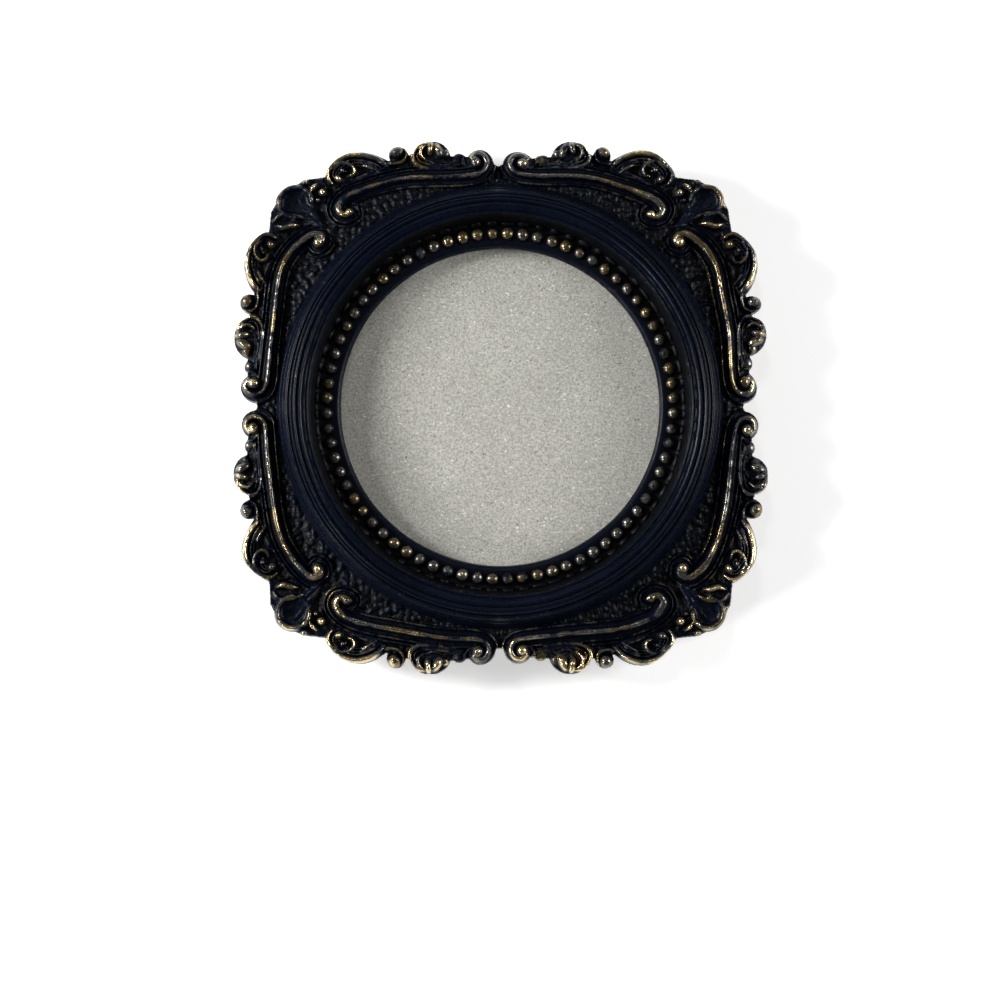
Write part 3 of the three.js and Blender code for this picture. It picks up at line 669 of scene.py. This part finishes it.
def relief(x, y, wobble):
    """The carved border's heights above the casting's back, its wax, and how far it stands proud."""
    clay = Clay(x, y, wobble)
    for carve in (carve_rails, carve_shell, carve_pearl, carve_acanthus, carve_corner):
        carve(clay)
    # Hand work: lumps of several sizes, and cuts where the noise crosses zero
    lumps = ((0.05, 0.9, 11), (0.035, 0.45, 13), (0.12, 5.0, 17))
    uneven = sum(much * value_noise(x, y, cell, seed) for much, cell, seed in lumps)
    uneven -= 0.22 * np.clip(0.4 - np.abs(value_noise(x, y, 1.7, 19)), 0, 1)
    return clay.height + uneven, clay.gilt, clay.height - clay.ground


def outline_radius(angles, wobble, reach=70.0, step=0.04):
    """The casting's outer radius in each direction, kept just inside the CAD casting's reach."""
    radii = np.arange(reach, 50, -step)
    a, r = np.meshgrid(angles, radii, indexing="ij")
    on = in_outline(*folded(*hand_wobble(r * np.cos(a), r * np.sin(a), wobble)))
    room = (CASTING_HIGH.x / MM - 0.15) / np.maximum(np.abs(np.cos(angles)), np.abs(np.sin(angles)))
    return np.minimum(radii[np.argmax(on, axis=1)], room)


def blurred(grid, sigma):
    """A grid smoothed over that many cells."""
    reach = int(math.ceil(2.5 * sigma))
    weights = np.exp(-0.5 * (np.arange(-reach, reach + 1) / sigma) ** 2)
    weights /= weights.sum()
    for axis in (0, 1):
        padded = np.pad(grid, [(reach, reach) if a == axis else (0, 0) for a in (0, 1)], mode="edge")
        size = grid.shape[axis]
        grid = sum(w * padded.take(range(k, k + size), axis) for k, w in enumerate(weights))
    return grid


# Where the gold is rubbed on thickest: x, y and radius, from the window's centre
RUB_PATCHES = [
    (-57, 18.5, 4), (-58, -16.5, 3.5), (-29, -55.5, 6), (-15.5, -58, 5), (4.5, -54.5, 4), (18, -57.5, 5),
    (-5, 55, 3.5), (-15.5, 57.5, 4), (-47, -48, 4.5), (-38, -43, 4), (50, -30, 7), (-49.5, -28, 6),
    (-31, 56, 4), (-44, 49, 4),
]


class CarvedRelief:
    """The relief and its wear on a square grid of samples, read back anywhere between them."""

    def __init__(self, grain, wobble, inner, reach=62.5):
        self.grain, self.reach = grain, reach
        places = np.arange(-reach, reach + grain / 2, grain)
        x, y = np.meshgrid(places, places, indexing="ij")
        border = in_outline(*folded(*hand_wobble(x, y, wobble)))
        worked = border & (np.hypot(x, y) > inner - 1)
        height = np.full(x.shape, 4.0)
        # Under the moulding
        height[np.hypot(x, y) <= inner - 1] = 8.2
        gilt, proud = np.zeros(x.shape), np.zeros(x.shape)
        height[worked], gilt[worked], proud[worked] = relief(x[worked], y[worked], wobble)
        self.height = np.where(worked, blurred(height, 0.09 / grain), height)
        crest = height - blurred(height, 0.8 / grain)
        patches = sum(np.exp(-(((x - px) ** 2 + (y - py) ** 2) / r**2)) for px, py, r in RUB_PATCHES)
        worn = 0.6 + 0.3 * value_noise(x, y, 1.6, 21) + 0.3 * value_noise(x, y, 6.5, 23)
        waxed = gilt + 0.8 * np.clip(crest - 0.1, 0, 0.7) * patches + 0.68 * np.clip(crest - 0.16, 0, 1)
        self.rub = np.clip(worn * waxed, 0, 1)
        # Painted shade: the hollow value darkens the paint in the carving's low places, and dulls it
        self.hollow = np.clip(1.1 - 1.4 * proud - 1.5 * crest, 0, 1)

    def read(self, grid, x, y):
        """One of the grids at any place."""
        gx, gy = (x + self.reach) / self.grain, (y + self.reach) / self.grain
        ix, iy = (np.clip(g.astype(int), 0, len(grid) - 2) for g in (gx, gy))
        return between(grid, ix, iy, gx - ix, gy - iy)


# Meshes


@contextmanager
def edited(mesh):
    """A mesh opened for editing, and written back afterwards."""
    work = bmesh.new()
    work.from_mesh(mesh)
    yield work
    work.to_mesh(mesh)
    work.free()


def placed(name, data):
    """A new object in the scene."""
    made = bpy.data.objects.new(name, data)
    bpy.context.scene.collection.objects.link(made)
    return made


def evaluated(made):
    """The plain mesh that an object comes to. The object itself is taken away."""
    bpy.context.view_layer.update()
    depsgraph = bpy.context.evaluated_depsgraph_get()
    mesh = bpy.data.meshes.new_from_object(made.evaluated_get(depsgraph))
    bpy.data.objects.remove(made)
    return mesh


def changed(mesh, kind, **values):
    """The plain mesh that one modifier makes of a mesh."""
    holder = placed("holder", mesh)
    modifier = holder.modifiers.new("change", kind)
    for name, value in values.items():
        setattr(modifier, name, value)
    return evaluated(holder)


def marked(mesh, **values):
    """Store a number at each point of a mesh, for its material to read."""
    for name, numbers in values.items():
        layer = mesh.attributes.new(name, "FLOAT", "POINT")
        layer.data.foreach_set("value", np.asarray(numbers, np.float32).ravel())


def creased(mesh, degrees=SMOOTH_ANGLE):
    """Smooth shading with hard edges where faces meet at more than that angle."""
    mesh.shade_smooth()
    mesh.set_sharp_from_angle(angle=math.radians(degrees))
    return mesh


def swept(name, points, closed, **values):
    """A solid from columns of millimetre points, each column a loop.

    The columns run round to the first again, or are capped at both ends. The values are numbers for
    each point.
    """
    columns, rows = points.shape[:2]
    last = columns if closed else columns - 1
    i, j = np.meshgrid(np.arange(last), np.arange(rows), indexing="ij")
    k, m = (i + 1) % columns, (j + 1) % rows
    faces = np.stack([i * rows + j, k * rows + j, k * rows + m, i * rows + m], -1).reshape(-1, 4).tolist()
    if not closed:
        faces.append(list(range(rows)))
        faces.append([(columns - 1) * rows + j for j in reversed(range(rows))])
    mesh = bpy.data.meshes.new(name)
    mesh.from_pydata((points.reshape(-1, 3) * MM).tolist(), [], faces)
    marked(mesh, **values)
    mesh.shade_smooth()
    with edited(mesh) as work:
        bmesh.ops.recalc_face_normals(work, faces=work.faces)
    return mesh


def turned(name, profile, steps, wobble=0.0, **values):
    """A closed profile of (radius, height) points turned once round Z, a little uneven by hand."""
    outline = np.array(profile)
    angles = np.linspace(0, 2 * math.pi, steps, endpoint=False)
    a, r = np.meshgrid(angles, outline[:, 0], indexing="ij")
    z = np.broadcast_to(outline[:, 1], a.shape)
    x, y = r * np.cos(a), r * np.sin(a)
    lumps = value_noise(x, y, 7.0, 31) + 0.4 * value_noise(x, y + 3 * z, 1.4, 33)
    r = r + wobble * lumps
    z = z + wobble * value_noise(x, y, 9.0, 35) * (z > BACK + 4.5)
    points = np.stack([r * np.cos(a), r * np.sin(a), z], -1)
    return swept(name, points, True, **{key: np.broadcast_to(v, a.shape) for key, v in values.items()})


def piece(name, mesh, finish, body, nodes):
    """Put a finished mesh in the scene, riding on a body in place of CAD nodes."""
    mesh.materials.clear()
    mesh.materials.append(finish)
    made = placed(name, mesh)
    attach(made, body)
    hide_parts(*nodes)


def casting_piece(name, mesh):
    """A piece of the casting, in its paint and wax."""
    piece(name, mesh, material(rubbed_resin), "frame", ["resin_casting"])


def softened(node, name, finish, body, bevel):
    """A CAD node's own shape with its edges rounded over."""
    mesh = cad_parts[node].data.copy()
    with edited(mesh) as work:
        bmesh.ops.remove_doubles(work, verts=work.verts, dist=0.01 * MM)
        bmesh.ops.dissolve_limit(work, angle_limit=math.radians(2), verts=work.verts, edges=work.edges)
    rounding = {"segments": 3, "limit_method": "ANGLE", "angle_limit": math.radians(SMOOTH_ANGLE)}
    mesh = changed(mesh, "BEVEL", width=bevel * MM, **rounding)
    piece(name, creased(mesh), finish, body, [node])


def kept_shape(node, finish):
    """Give a CAD node that is shown as it is its finish."""
    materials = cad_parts[node].data.materials
    materials.clear()
    materials.append(finish)


def box_mm(node):
    """The low and high corner of a CAD node's box, in millimetres."""
    return [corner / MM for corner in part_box(node)]


def middle_mm(node):
    """The middle of a CAD node's box, in millimetres."""
    low, high = box_mm(node)
    return (low + high) / 2


# Geometry Nodes trees


def node_tree(name, **inputs):
    """An empty Geometry Nodes tree, and the outputs of its input node."""
    tree = bpy.data.node_groups.new(name, "GeometryNodeTree")
    for way in ("INPUT", "OUTPUT"):
        tree.interface.new_socket("Geometry", in_out=way, socket_type="NodeSocketGeometry")
    for label, kind in inputs.items():
        tree.interface.new_socket(label, in_out="INPUT", socket_type="NodeSocket" + kind)
    return tree, tree.nodes.new("NodeGroupInput").outputs


def ended(tree, instances, finish):
    """End a tree: the instances made real, shaded smooth and given their finish."""
    real = add(tree, "GeometryNodeRealizeInstances", Geometry=instances)
    smooth = add(tree, "GeometryNodeSetShadeSmooth", Geometry=real)
    painted = add(tree, "GeometryNodeSetMaterial", Geometry=smooth, Material=finish)
    tree.links.new(painted, tree.nodes.new("NodeGroupOutput").inputs["Geometry"])
    return tree


def grown(tree, values, points=((0, 0, 0),)):
    """The plain mesh that a Geometry Nodes tree makes from some points."""
    seed = bpy.data.meshes.new("grower")
    seed.from_pydata([Vector(p) * MM for p in points], [], [])
    grower = placed("grower", seed)
    modifier = grower.modifiers.new("grow", "NODES")
    modifier.node_group = tree
    for item in tree.interface.items_tree:
        if item.item_type == "SOCKET" and item.in_out == "INPUT" and item.name in values:
            modifier[item.identifier] = values[item.name]
    return evaluated(grower)


def row_round_window(name, finish):
    """Geometry Nodes: one oval bump repeated round the window, each a little different."""
    sizes = {"Circle": "Float", "Height": "Float", "Size": "Vector", "Tilt": "Float", "Unevenness": "Float"}
    tree, given = node_tree(name, Count="Int", Seed="Int", **sizes)
    circle = add(tree, "GeometryNodeMeshCircle", Vertices=given["Count"], Radius=given["Circle"])
    step = add(tree, "Math", 2 * math.pi, given["Count"], operation="DIVIDE")
    turn = add(tree, "Math", add(tree, "GeometryNodeInputIndex"), step, operation="MULTIPLY")
    aim = add(tree, "CombineXYZ", Y=given["Tilt"], Z=turn)
    least = add(tree, "Math", 1.0, given["Unevenness"], operation="SUBTRACT")
    most = add(tree, "Math", 1.0, given["Unevenness"], operation="ADD")
    scale = add(
        tree, "FunctionNodeRandomValue", Min=least, Max=most, Seed=given["Seed"], data_type="FLOAT_VECTOR"
    )
    bump = add(tree, "GeometryNodeMeshUVSphere", Segments=18, Rings=11, Radius=1.0)
    sized = add(tree, "GeometryNodeTransform", Geometry=bump, Scale=given["Size"])
    row = add(tree, "GeometryNodeInstanceOnPoints", Points=circle, Instance=sized, Rotation=aim, Scale=scale)
    # Turned by half a step, so that the first bump doesn't stand on the middle line
    half_step = add(tree, "CombineXYZ", Z=add(tree, "Math", step, 0.5, operation="MULTIPLY"))
    lift = add(tree, "CombineXYZ", Z=given["Height"])
    lifted = add(tree, "GeometryNodeTransform", Geometry=row, Translation=lift, Rotation=half_step)
    return ended(tree, lifted, finish)


def copies_at_points(name, original, finish):
    """Geometry Nodes: a copy of one fastener at each point."""
    tree, given = node_tree(name)
    fastener = add(tree, "GeometryNodeObjectInfo", Object=original, output="Geometry")
    row = add(tree, "GeometryNodeInstanceOnPoints", Points=given["Geometry"], Instance=fastener)
    return ended(tree, row, finish)


def fasteners(name, mesh, crease, body, nodes):
    """A piece with one plated fastener in place of each of the CAD nodes."""
    finish = material(nickel_plate)
    original = placed(name + "_original", mesh)
    middles = [middle_mm(node) for node in nodes]
    copies = grown(copies_at_points(name, original, finish), {}, [(m.x, m.y, 0) for m in middles])
    bpy.data.objects.remove(original)
    piece(name, creased(copies, crease), finish, body, nodes)


# Flat plates


def filled_outline(name, outer, holes, low, high):
    """A flat plate with holes, from millimetre outlines, standing between two heights."""
    curve = bpy.data.curves.new(name, "CURVE")
    curve.dimensions = "2D"
    curve.fill_mode = "BOTH"
    curve.extrude = (high - low) * MM / 2
    for outline in [outer, *holes]:
        spline = curve.splines.new("POLY")
        spline.points.add(len(outline) - 1)
        spline.points.foreach_set("co", np.array([(x * MM, y * MM, 0, 1) for x, y in outline]).ravel())
        spline.use_cyclic_u = True
    mesh = evaluated(placed(name, curve))
    mesh.transform(Matrix.Translation((0, 0, (low + high) / 2 * MM)))
    with edited(mesh) as work:
        bmesh.ops.remove_doubles(work, verts=work.verts, dist=0.001 * MM)
        bmesh.ops.recalc_face_normals(work, faces=work.faces)
    return mesh


def round_hole(x, y, radius):
    """The outline of a hole, from 24 points."""
    return arc(x, y, radius, 0, 2 * math.pi, 25)[:-1]


def rounded_square(half, radius):
    """The outline of a square round the middle, with rounded corners."""
    near, quarter = half - radius, math.pi / 2
    centres = ((near, near), (-near, near), (-near, -near), (near, -near))
    corners = [arc(x, y, radius, k * quarter, (k + 1) * quarter, 8) for k, (x, y) in enumerate(centres)]
    return [point for corner in corners for point in corner]


# Pieces

# The moulding's face outside the beads, as mm out from the cove's foot: first the cove, as mm above
# its foot, then the reeded top, as mm below the crown
COVE = ((0, 0), (0.9, 1.6), (1.6, 4.0))
REEDED_TOP = (
    (2.3, 0.6), (3.4, 0.32), (4.4, 0.08), (5.3, 0.06), (6.4, 0.65), (7.4, 1.6), (8.2, 2.8), (8.9, 4.2),
    (9.3, 5.6),
)
# Reeds and grooves on it: mm out from the cove's foot, half width, and height or depth
FIRST_REED = 2.05
REEDS = (
    (FIRST_REED, 0.2, 0.2), (2.6, 0.24, -0.32), (3.8, 0.26, 0.16), (4.5, 0.2, -0.3), (5.05, 0.22, 0.16),
    (5.45, 0.14, -0.16), (5.85, 0.2, 0.18), (6.3, 0.22, -0.42), (7.0, 0.25, 0.2), (7.65, 0.2, -0.3),
    (8.35, 0.2, -0.3),
)


class FRAME_OT_moulding_ring(bpy.types.Operator):
    """Turn the reeded moulding round the window"""

    bl_idname = "photo_frame.moulding_ring"
    bl_label = "Moulding Ring"

    def face(self, window, cove):
        """Radius and height along the moulding's face, from the window's edge outwards."""
        points = [(window, LIP), (window + 0.9, SEAT)]
        points += [(cove + out, SEAT + up) for out, up in COVE]
        points += [(cove + out, CROWN - down) for out, down in REEDED_TOP]
        drawn = smooth_curve(points, 0.1)
        for out, half, rise in REEDS:
            drawn[:, 1] += rise * np.clip(1 - ((drawn[:, 0] - cove - out) / half) ** 2, 0, 1)
        return drawn

    def execute(self, context):
        sizes = context.scene.window_sizes
        cove = sizes.cove_radius / MM
        face = self.face(sizes.window_radius / MM, cove)
        foot = GLASS + 0.02
        profile = np.vstack([[(face[0, 0], foot)], face, [(face[-1, 0], foot)]])
        radius, fillet = profile[:, 0], cove + FIRST_REED
        # A breath of wax on three of the reeds, and painted shade behind the beads: darker, duller paint
        rub = sum(0.06 * np.exp(-(((radius - fillet - out) / 0.3) ** 2)) for out in (0, 3.1, 4.95))
        hollow = np.interp(radius, [36.8, 37.6, fillet - 0.3, fillet], [0.3, 1, 1, 0])
        steps = sizes.ring_steps // 1
        mesh = turned("moulding_ring", profile, steps, wobble=0.07, rub=rub, hollow=hollow)
        casting_piece("moulding_ring", creased(mesh, 50))
        return {"FINISHED"}


class FRAME_OT_beads(bpy.types.Operator):
    """Set the beads and the leaf tips round the window"""

    bl_idname = "photo_frame.beads"
    bl_label = "Beads and Leaf Tips"

    def row(self, name, tree_name, count, wear, low, high, **values):
        """A row of bumps, each worn by its own amount, and most on its top."""
        mesh = grown(row_round_window(tree_name, material(rubbed_resin)), {"Count": count, **values})
        points = np.empty(len(mesh.vertices) * 3)
        mesh.vertices.foreach_get("co", points)
        x, y, z = points.reshape(-1, 3).T / MM
        which = (np.arctan2(y, x) / (2 * math.pi) * count).astype(int) % count
        worn = np.random.default_rng(4).uniform(0.4 * wear, wear, count)[which]
        top = np.clip((z - SEAT - low) / (high - low), 0, 1)
        # Wax on the tops; the hollow value paints shade on the lower sides, as darker, duller paint
        marked(mesh, rub=worn * top**2, hollow=1 - top * wear)
        casting_piece(name, mesh)

    def execute(self, context):
        sizes = context.scene.window_sizes
        radius = sizes.bead_radius
        bead = {
            "Circle": sizes.bead_circle, "Height": (SEAT + 0.35) * MM,
            "Size": (radius * 0.98, radius, radius),
            "Tilt": 0.0, "Unevenness": 0.06, "Seed": 3,
        }
        tip = {
            "Circle": sizes.cove_radius + 0.3 * MM, "Height": (SEAT + 0.7) * MM,
            "Size": (0.85 * MM, 1.25 * MM, 0.4 * MM),
            "Tilt": math.radians(-50), "Unevenness": 0.3, "Seed": 8,
        }
        self.row("window_beads", "bead_row", sizes.bead_count, 0.69, 0.15, 1.6, **bead)
        self.row("cove_leaf_tips", "leaf_tip_row", sizes.tip_count, 0.15, 0.6, 2.4, **tip)
        return {"FINISHED"}


class FRAME_OT_carved_border(bpy.types.Operator):
    """Carve the four corners of the scrolled border"""

    bl_idname = "photo_frame.carved_border"
    bl_label = "Carved Border"

    def execute(self, context):
        sizes = context.scene.carving_sizes
        coarse = 1
        inner, wobble = sizes.inner_radius / MM, sizes.wobble / MM
        carving = CarvedRelief(sizes.grain / MM * coarse, wobble, inner)
        for quarter, name in enumerate(("upper_right", "upper_left", "lower_left", "lower_right")):
            start, end = quarter * math.pi / 2, (quarter + 1) * math.pi / 2
            angles = np.linspace(start, end, sizes.columns // coarse)
            mesh = self.corner(f"carved_corner_{name}", angles, carving, inner, wobble, sizes.rows // coarse)
            casting_piece(f"carved_corner_{name}", creased(mesh, 60))
        return {"FINISHED"}

    def corner(self, name, angles, carving, inner, wobble, rows):
        """A quarter of the border: its carved face, its upright outer wall and a skirt behind the wall."""
        outer = outline_radius(angles, wobble)[:, None]
        a = angles[:, None]
        radii = inner + (outer - inner - 0.03) * np.linspace(0, 1, rows)
        x, y = radii * np.cos(a), radii * np.sin(a)
        face_z = BACK + carving.read(carving.height, x, y)
        rub, hollow = carving.read(carving.rub, x, y), carving.read(carving.hollow, x, y)

        # The wall, at these shares of its height downwards, tucks in at its foot
        falls = np.array([0.12, 0.3, 0.5, 0.7, 0.86])
        edge = face_z[:, -1:]
        wall_z = edge + (BACK - edge) * falls
        drift = 0.06 * value_noise(outer * a, wall_z, 2.0, 41)
        drift += 0.04 * value_noise(outer * a, wall_z, 0.8, 43)
        wall_r = outer + 0.06 + drift - 0.4 * falls**3
        wall_rub = rub[:, -1:] * 0.6 * (1 - falls) ** 1.8

        # The skirt goes in along the back, up inside and across to the moulding
        skirt_r = np.hstack([outer - 0.45, outer - 1.8, outer - 2.0, np.full_like(outer, inner)])
        skirt_z = np.array([BACK, BACK, BACK + 3.5, BACK + 3.5]) + np.zeros_like(skirt_r)

        r, z = np.hstack([radii, wall_r, skirt_r]), np.hstack([face_z, wall_z, skirt_z])
        points = np.stack([r * np.cos(a), r * np.sin(a), z], -1)
        rub = np.hstack([rub, wall_rub, 0 * skirt_r])
        # The outer wall's paint is a little darker and duller than the face
        hollow = np.hstack([hollow, 0.3 + 0 * wall_r, 0 * skirt_r])
        return swept(name, points, False, rub=rub, hollow=hollow)


class FRAME_OT_casting_back(bpy.types.Operator):
    """Cut the casting's flat back with its rabbet and pilot holes"""

    bl_idname = "photo_frame.casting_back"
    bl_label = "Casting Back"

    def execute(self, context):
        angles = np.linspace(0, 2 * math.pi, 720, endpoint=False)
        # Kept inside the carved border's outer wall
        radii = outline_radius(angles, context.scene.carving_sizes.wobble / MM) - 1.6
        outline = list(zip(radii * np.cos(angles), radii * np.sin(angles)))
        board = box_mm("easel_board")[1].x
        rabbet = rounded_square(board + 0.3, 2.3)
        screws = [middle_mm(f"button_screw_{side}") for side in SIDES]
        pilot_holes = [round_hole(screw.x, screw.y, 1.0) for screw in screws]
        mesh = filled_outline("casting_back", outline, [rabbet, *pilot_holes], BACK + 0.02, GLASS + 0.15)
        plain = np.zeros(len(mesh.vertices))
        marked(mesh, rub=plain, hollow=plain)
        casting_piece("casting_back", creased(mesh))
        return {"FINISHED"}


class FRAME_OT_card_and_glass(bpy.types.Operator):
    """Give the backing card and the glass their finishes"""

    bl_idname = "photo_frame.card_and_glass"
    bl_label = "Card and Glass"

    def execute(self, context):
        kept_shape("backing_card", material(pressed_greyboard))
        kept_shape("glass_pane", material(float_glass))
        return {"FINISHED"}


class FRAME_OT_easel_back(bpy.types.Operator):
    """Cover the easel board and its leg in black paper, with rounded edges"""

    bl_idname = "photo_frame.easel_back"
    bl_label = "Easel Back"

    def execute(self, context):
        paper = material(black_paper_board)
        softened("easel_board", "covered_board", paper, "frame", 0.35)
        softened("easel_leg", "covered_leg", paper, "leg", 0.3)
        return {"FINISHED"}


class FRAME_OT_hinge(bpy.types.Operator):
    """Finish the hinge and set its rivets"""

    bl_idname = "photo_frame.hinge"
    bl_label = "Hinge and Rivets"

    def rivet(self, head_face, way, end, head_radius):
        """A rivet with a domed head, which faces down or up (way -1 or 1), and its shank to the other end."""
        thickness, shank, pinhole = 0.3, 0.9, 0.02
        foot = head_face - way * thickness
        dome = [
            (head_radius * math.cos(a), foot + way * thickness * math.sin(a))
            for a in np.linspace(0.05, math.pi / 2 - 0.12, 8)
        ]
        profile = [(pinhole, end), (shank, end), (shank, foot), *dome, (pinhole, head_face)]
        return turned("rivet", profile, 32)

    def execute(self, context):
        nickel = material(nickel_plate)
        softened("hinge_fixed_leaf", "fixed_leaf", nickel, "frame", 0.06)
        softened("hinge_moving_leaf", "moving_leaf", nickel, "leg", 0.06)
        kept_shape("hinge_pin", nickel)
        for owner, body, way in (("board", "frame", -1), ("leg", "leg", 1)):
            nodes = [f"{owner}_rivet_left", f"{owner}_rivet_right"]
            low, high = box_mm(nodes[0])
            head_face, end = (high.z, low.z) if way > 0 else (low.z, high.z)
            rivet = self.rivet(head_face, way, end, (high.x - low.x) / 2)
            fasteners(f"{owner}_rivets", rivet, SMOOTH_ANGLE, body, nodes)
        return {"FINISHED"}


class FRAME_OT_turn_buttons(bpy.types.Operator):
    """Bend the four turn buttons and drive their screws"""

    bl_idname = "photo_frame.turn_buttons"
    bl_label = "Turn Buttons and Screws"

    def screw(self, low, high):
        """A slotted pan head screw standing head down, with its thread's grooves on the shank."""
        head_radius, rim, rise = 2.1, 0.6, 0.7
        head = low + 1.3
        shank, groove, pitch = 0.95, 0.22, 0.3
        pinhole = 0.02
        angles = np.linspace(0.1, math.pi / 2, 10)
        dome = [(head_radius * math.sin(a), head - rim - rise * math.cos(a)) for a in angles]
        levels = range(int((high - head - 1) / pitch))
        thread = [(shank - groove * (k % 2), head + pitch + pitch * k) for k in levels]
        profile = [(pinhole, low), *dome, (head_radius, head), (shank, head), *thread]
        profile += [(0.5, high - pitch), (pinhole, high)]
        slot = bpy.data.meshes.new("slot")
        slot_size = Vector((6, 0.6, 1.2)) * MM
        with edited(slot) as work:
            bmesh.ops.create_cube(work, size=1)
            bmesh.ops.scale(work, verts=work.verts, vec=slot_size)
            bmesh.ops.translate(work, verts=work.verts, vec=(0, 0, low * MM))
        cutter = placed("slot", slot)
        mesh = changed(turned("screw", profile, 40), "BOOLEAN", operation="DIFFERENCE", object=cutter)
        bpy.data.objects.remove(cutter)
        return mesh

    def button(self, name, low, high, axis):
        """A sheet steel button: a round foot with its screw hole, a bend, and a tongue over the board."""
        sheet, foot_radius, half = 0.8, 3.5, 2.5
        to_left = axis.x > 0
        tip = abs((low.x if to_left else high.x) - axis.x) - half
        bend = foot_radius - 0.1
        inside = bend - sheet
        foot = arc(0, 0, foot_radius, 0.8, 2 * math.pi - 0.8, 40) + [(bend, -half), (bend, half)]
        riser = [(inside, -half), (bend, -half), (bend, half), (inside, half)]
        tongue = arc(tip, 0, half, -math.pi / 2, math.pi / 2, 20) + [(inside, half), (inside, -half)]
        plates = (
            (foot, [round_hole(0, 0, 1.05)], high.z - sheet, high.z),
            (riser, [], low.z + 0.01, high.z - 0.01),
            (tongue, [], low.z, low.z + sheet),
        )
        mesh = bpy.data.meshes.new(name)
        with edited(mesh) as work:
            for plate in plates:
                work.from_mesh(filled_outline(name, *plate))
        turn = Matrix.Rotation(math.pi if to_left else 0, 4, "Z")
        mesh.transform(Matrix.Translation((axis.x * MM, axis.y * MM, 0)) @ turn)
        return creased(mesh, 35)

    def execute(self, context):
        steel = material(oil_blackened_steel)
        for side in SIDES:
            name, node = f"button_{side}", f"turn_button_{side}"
            mesh = self.button(name, *box_mm(node), middle_mm(f"button_screw_{side}"))
            piece(name, mesh, steel, name, [node])
        nodes = [f"button_screw_{side}" for side in SIDES]
        low, high = box_mm(nodes[0])
        fasteners("button_screws", self.screw(low.z, high.z), 35, "frame", nodes)
        return {"FINISHED"}


# Each lamp's name, place and width in metres, and power in watts
LAMPS = (
    ("left_softbox", (-0.68, 0.14, 0.36), 0.28, 9.1),
    ("right_softbox", (0.69, 0.08, 0.29), 0.42, 5.6),
    ("low_lamp", (-0.5, -0.34, 0.28), 0.1, 1.7),
    ("high_lamp", (-0.06, 0.42, 0.7), 0.12, 0.55),
)


class FRAME_OT_stage(bpy.types.Operator):
    """Set the pale floor, the soft lamps and the camera"""

    bl_idname = "photo_frame.stage"
    bl_label = "Stage"

    def floor(self):
        """A square of floor, a hair under the frame, that throws no light or shadow on it."""
        mesh = bpy.data.meshes.new("floor")
        mesh.from_pydata([(-1, -1, 0), (1, -1, 0), (1, 1, 0), (-1, 1, 0)], [], [(0, 1, 2, 3)])
        mesh.materials.append(material(pale_floor))
        made = placed("floor", mesh)
        made.location.z = -0.2 * MM
        made.visible_diffuse = False
        made.visible_shadow = False

    def looking(self, made, place, target):
        """Put a lamp or the camera at a place, turned towards a target."""
        made.location = place
        made.rotation_euler = (Vector(target) - made.location).to_track_quat("-Z", "Y").to_euler()

    def lamp(self, name, place, width, power):
        """A round soft lamp, aimed at the frame."""
        light = bpy.data.lights.new(name, "AREA")
        light.shape = "DISK"
        light.size = width
        light.energy = power
        self.looking(placed(name, light), place, (0, 0, 0))

    def sky(self):
        """A white room with a dim ceiling, so that dark paint stays dark where it faces up."""
        world = bpy.data.worlds.new("studio")
        bpy.context.scene.world = world
        world.use_nodes = True
        tree = world.node_tree
        way = add(tree, "TexCoord", output="Generated")
        height = add(tree, "SeparateXYZ", Vector=way, output="Z")
        strength = add(tree, "MapRange", height, 0.0, 0.28, 0.9, 0.06)
        wire(tree, tree.nodes["Background"], Color=linear("#FFFFFF"), Strength=strength)

    def camera(self, sizes):
        """The camera at the photograph's viewing angle."""
        lens = bpy.data.cameras.new("camera")
        lens.lens = sizes.lens
        lens.sensor_width = 36
        lens.clip_start = 10 * MM
        camera = placed("camera", lens)
        up = sizes.view_elevation
        middle = Vector((0, 0, 10 * MM))
        place = middle + Vector((0, -math.cos(up), math.sin(up))) * sizes.view_distance
        self.looking(camera, place, middle + Vector((0, -sizes.below_middle, 0)))
        bpy.context.scene.camera = camera

    def execute(self, context):
        self.floor()
        for lamp in LAMPS:
            self.lamp(*lamp)
        self.sky()
        self.camera(context.scene.stage_sizes)
        context.scene.view_settings.view_transform = "Standard"
        return {"FINISHED"}


OPERATORS = (
    FRAME_OT_stage,
    FRAME_OT_card_and_glass,
    FRAME_OT_moulding_ring,
    FRAME_OT_beads,
    FRAME_OT_carved_border,
    FRAME_OT_casting_back,
    FRAME_OT_easel_back,
    FRAME_OT_hinge,
    FRAME_OT_turn_buttons,
)


class FRAME_PT_panel(bpy.types.Panel):
    """Lists the frame's pieces in the order they are built"""

    bl_label = "Photo Frame"
    bl_idname = "FRAME_PT_panel"
    bl_space_type = "VIEW_3D"
    bl_region_type = "UI"
    bl_category = "Photo Frame"

    def draw(self, context):
        for operator in OPERATORS:
            self.layout.operator(operator.bl_idname)


GROUPS = {
    "window_sizes": WindowSizes,
    "carving_sizes": CarvingSizes,
    "finishes": Finishes,
    "stage_sizes": StageSizes,
}


def register():
    for name, group in GROUPS.items():
        bpy.utils.register_class(group)
        setattr(bpy.types.Scene, name, PointerProperty(type=group))
    for cls in (*OPERATORS, FRAME_PT_panel):
        bpy.utils.register_class(cls)


def unregister():
    for cls in (FRAME_PT_panel, *reversed(OPERATORS)):
        bpy.utils.unregister_class(cls)
    for name, group in reversed(GROUPS.items()):
        delattr(bpy.types.Scene, name)
        bpy.utils.unregister_class(group)


def main():
    register()
    for operator in OPERATORS:
        group, name = operator.bl_idname.split(".")
        getattr(getattr(bpy.ops, group), name)()


if __name__ == "__main__":
    main()
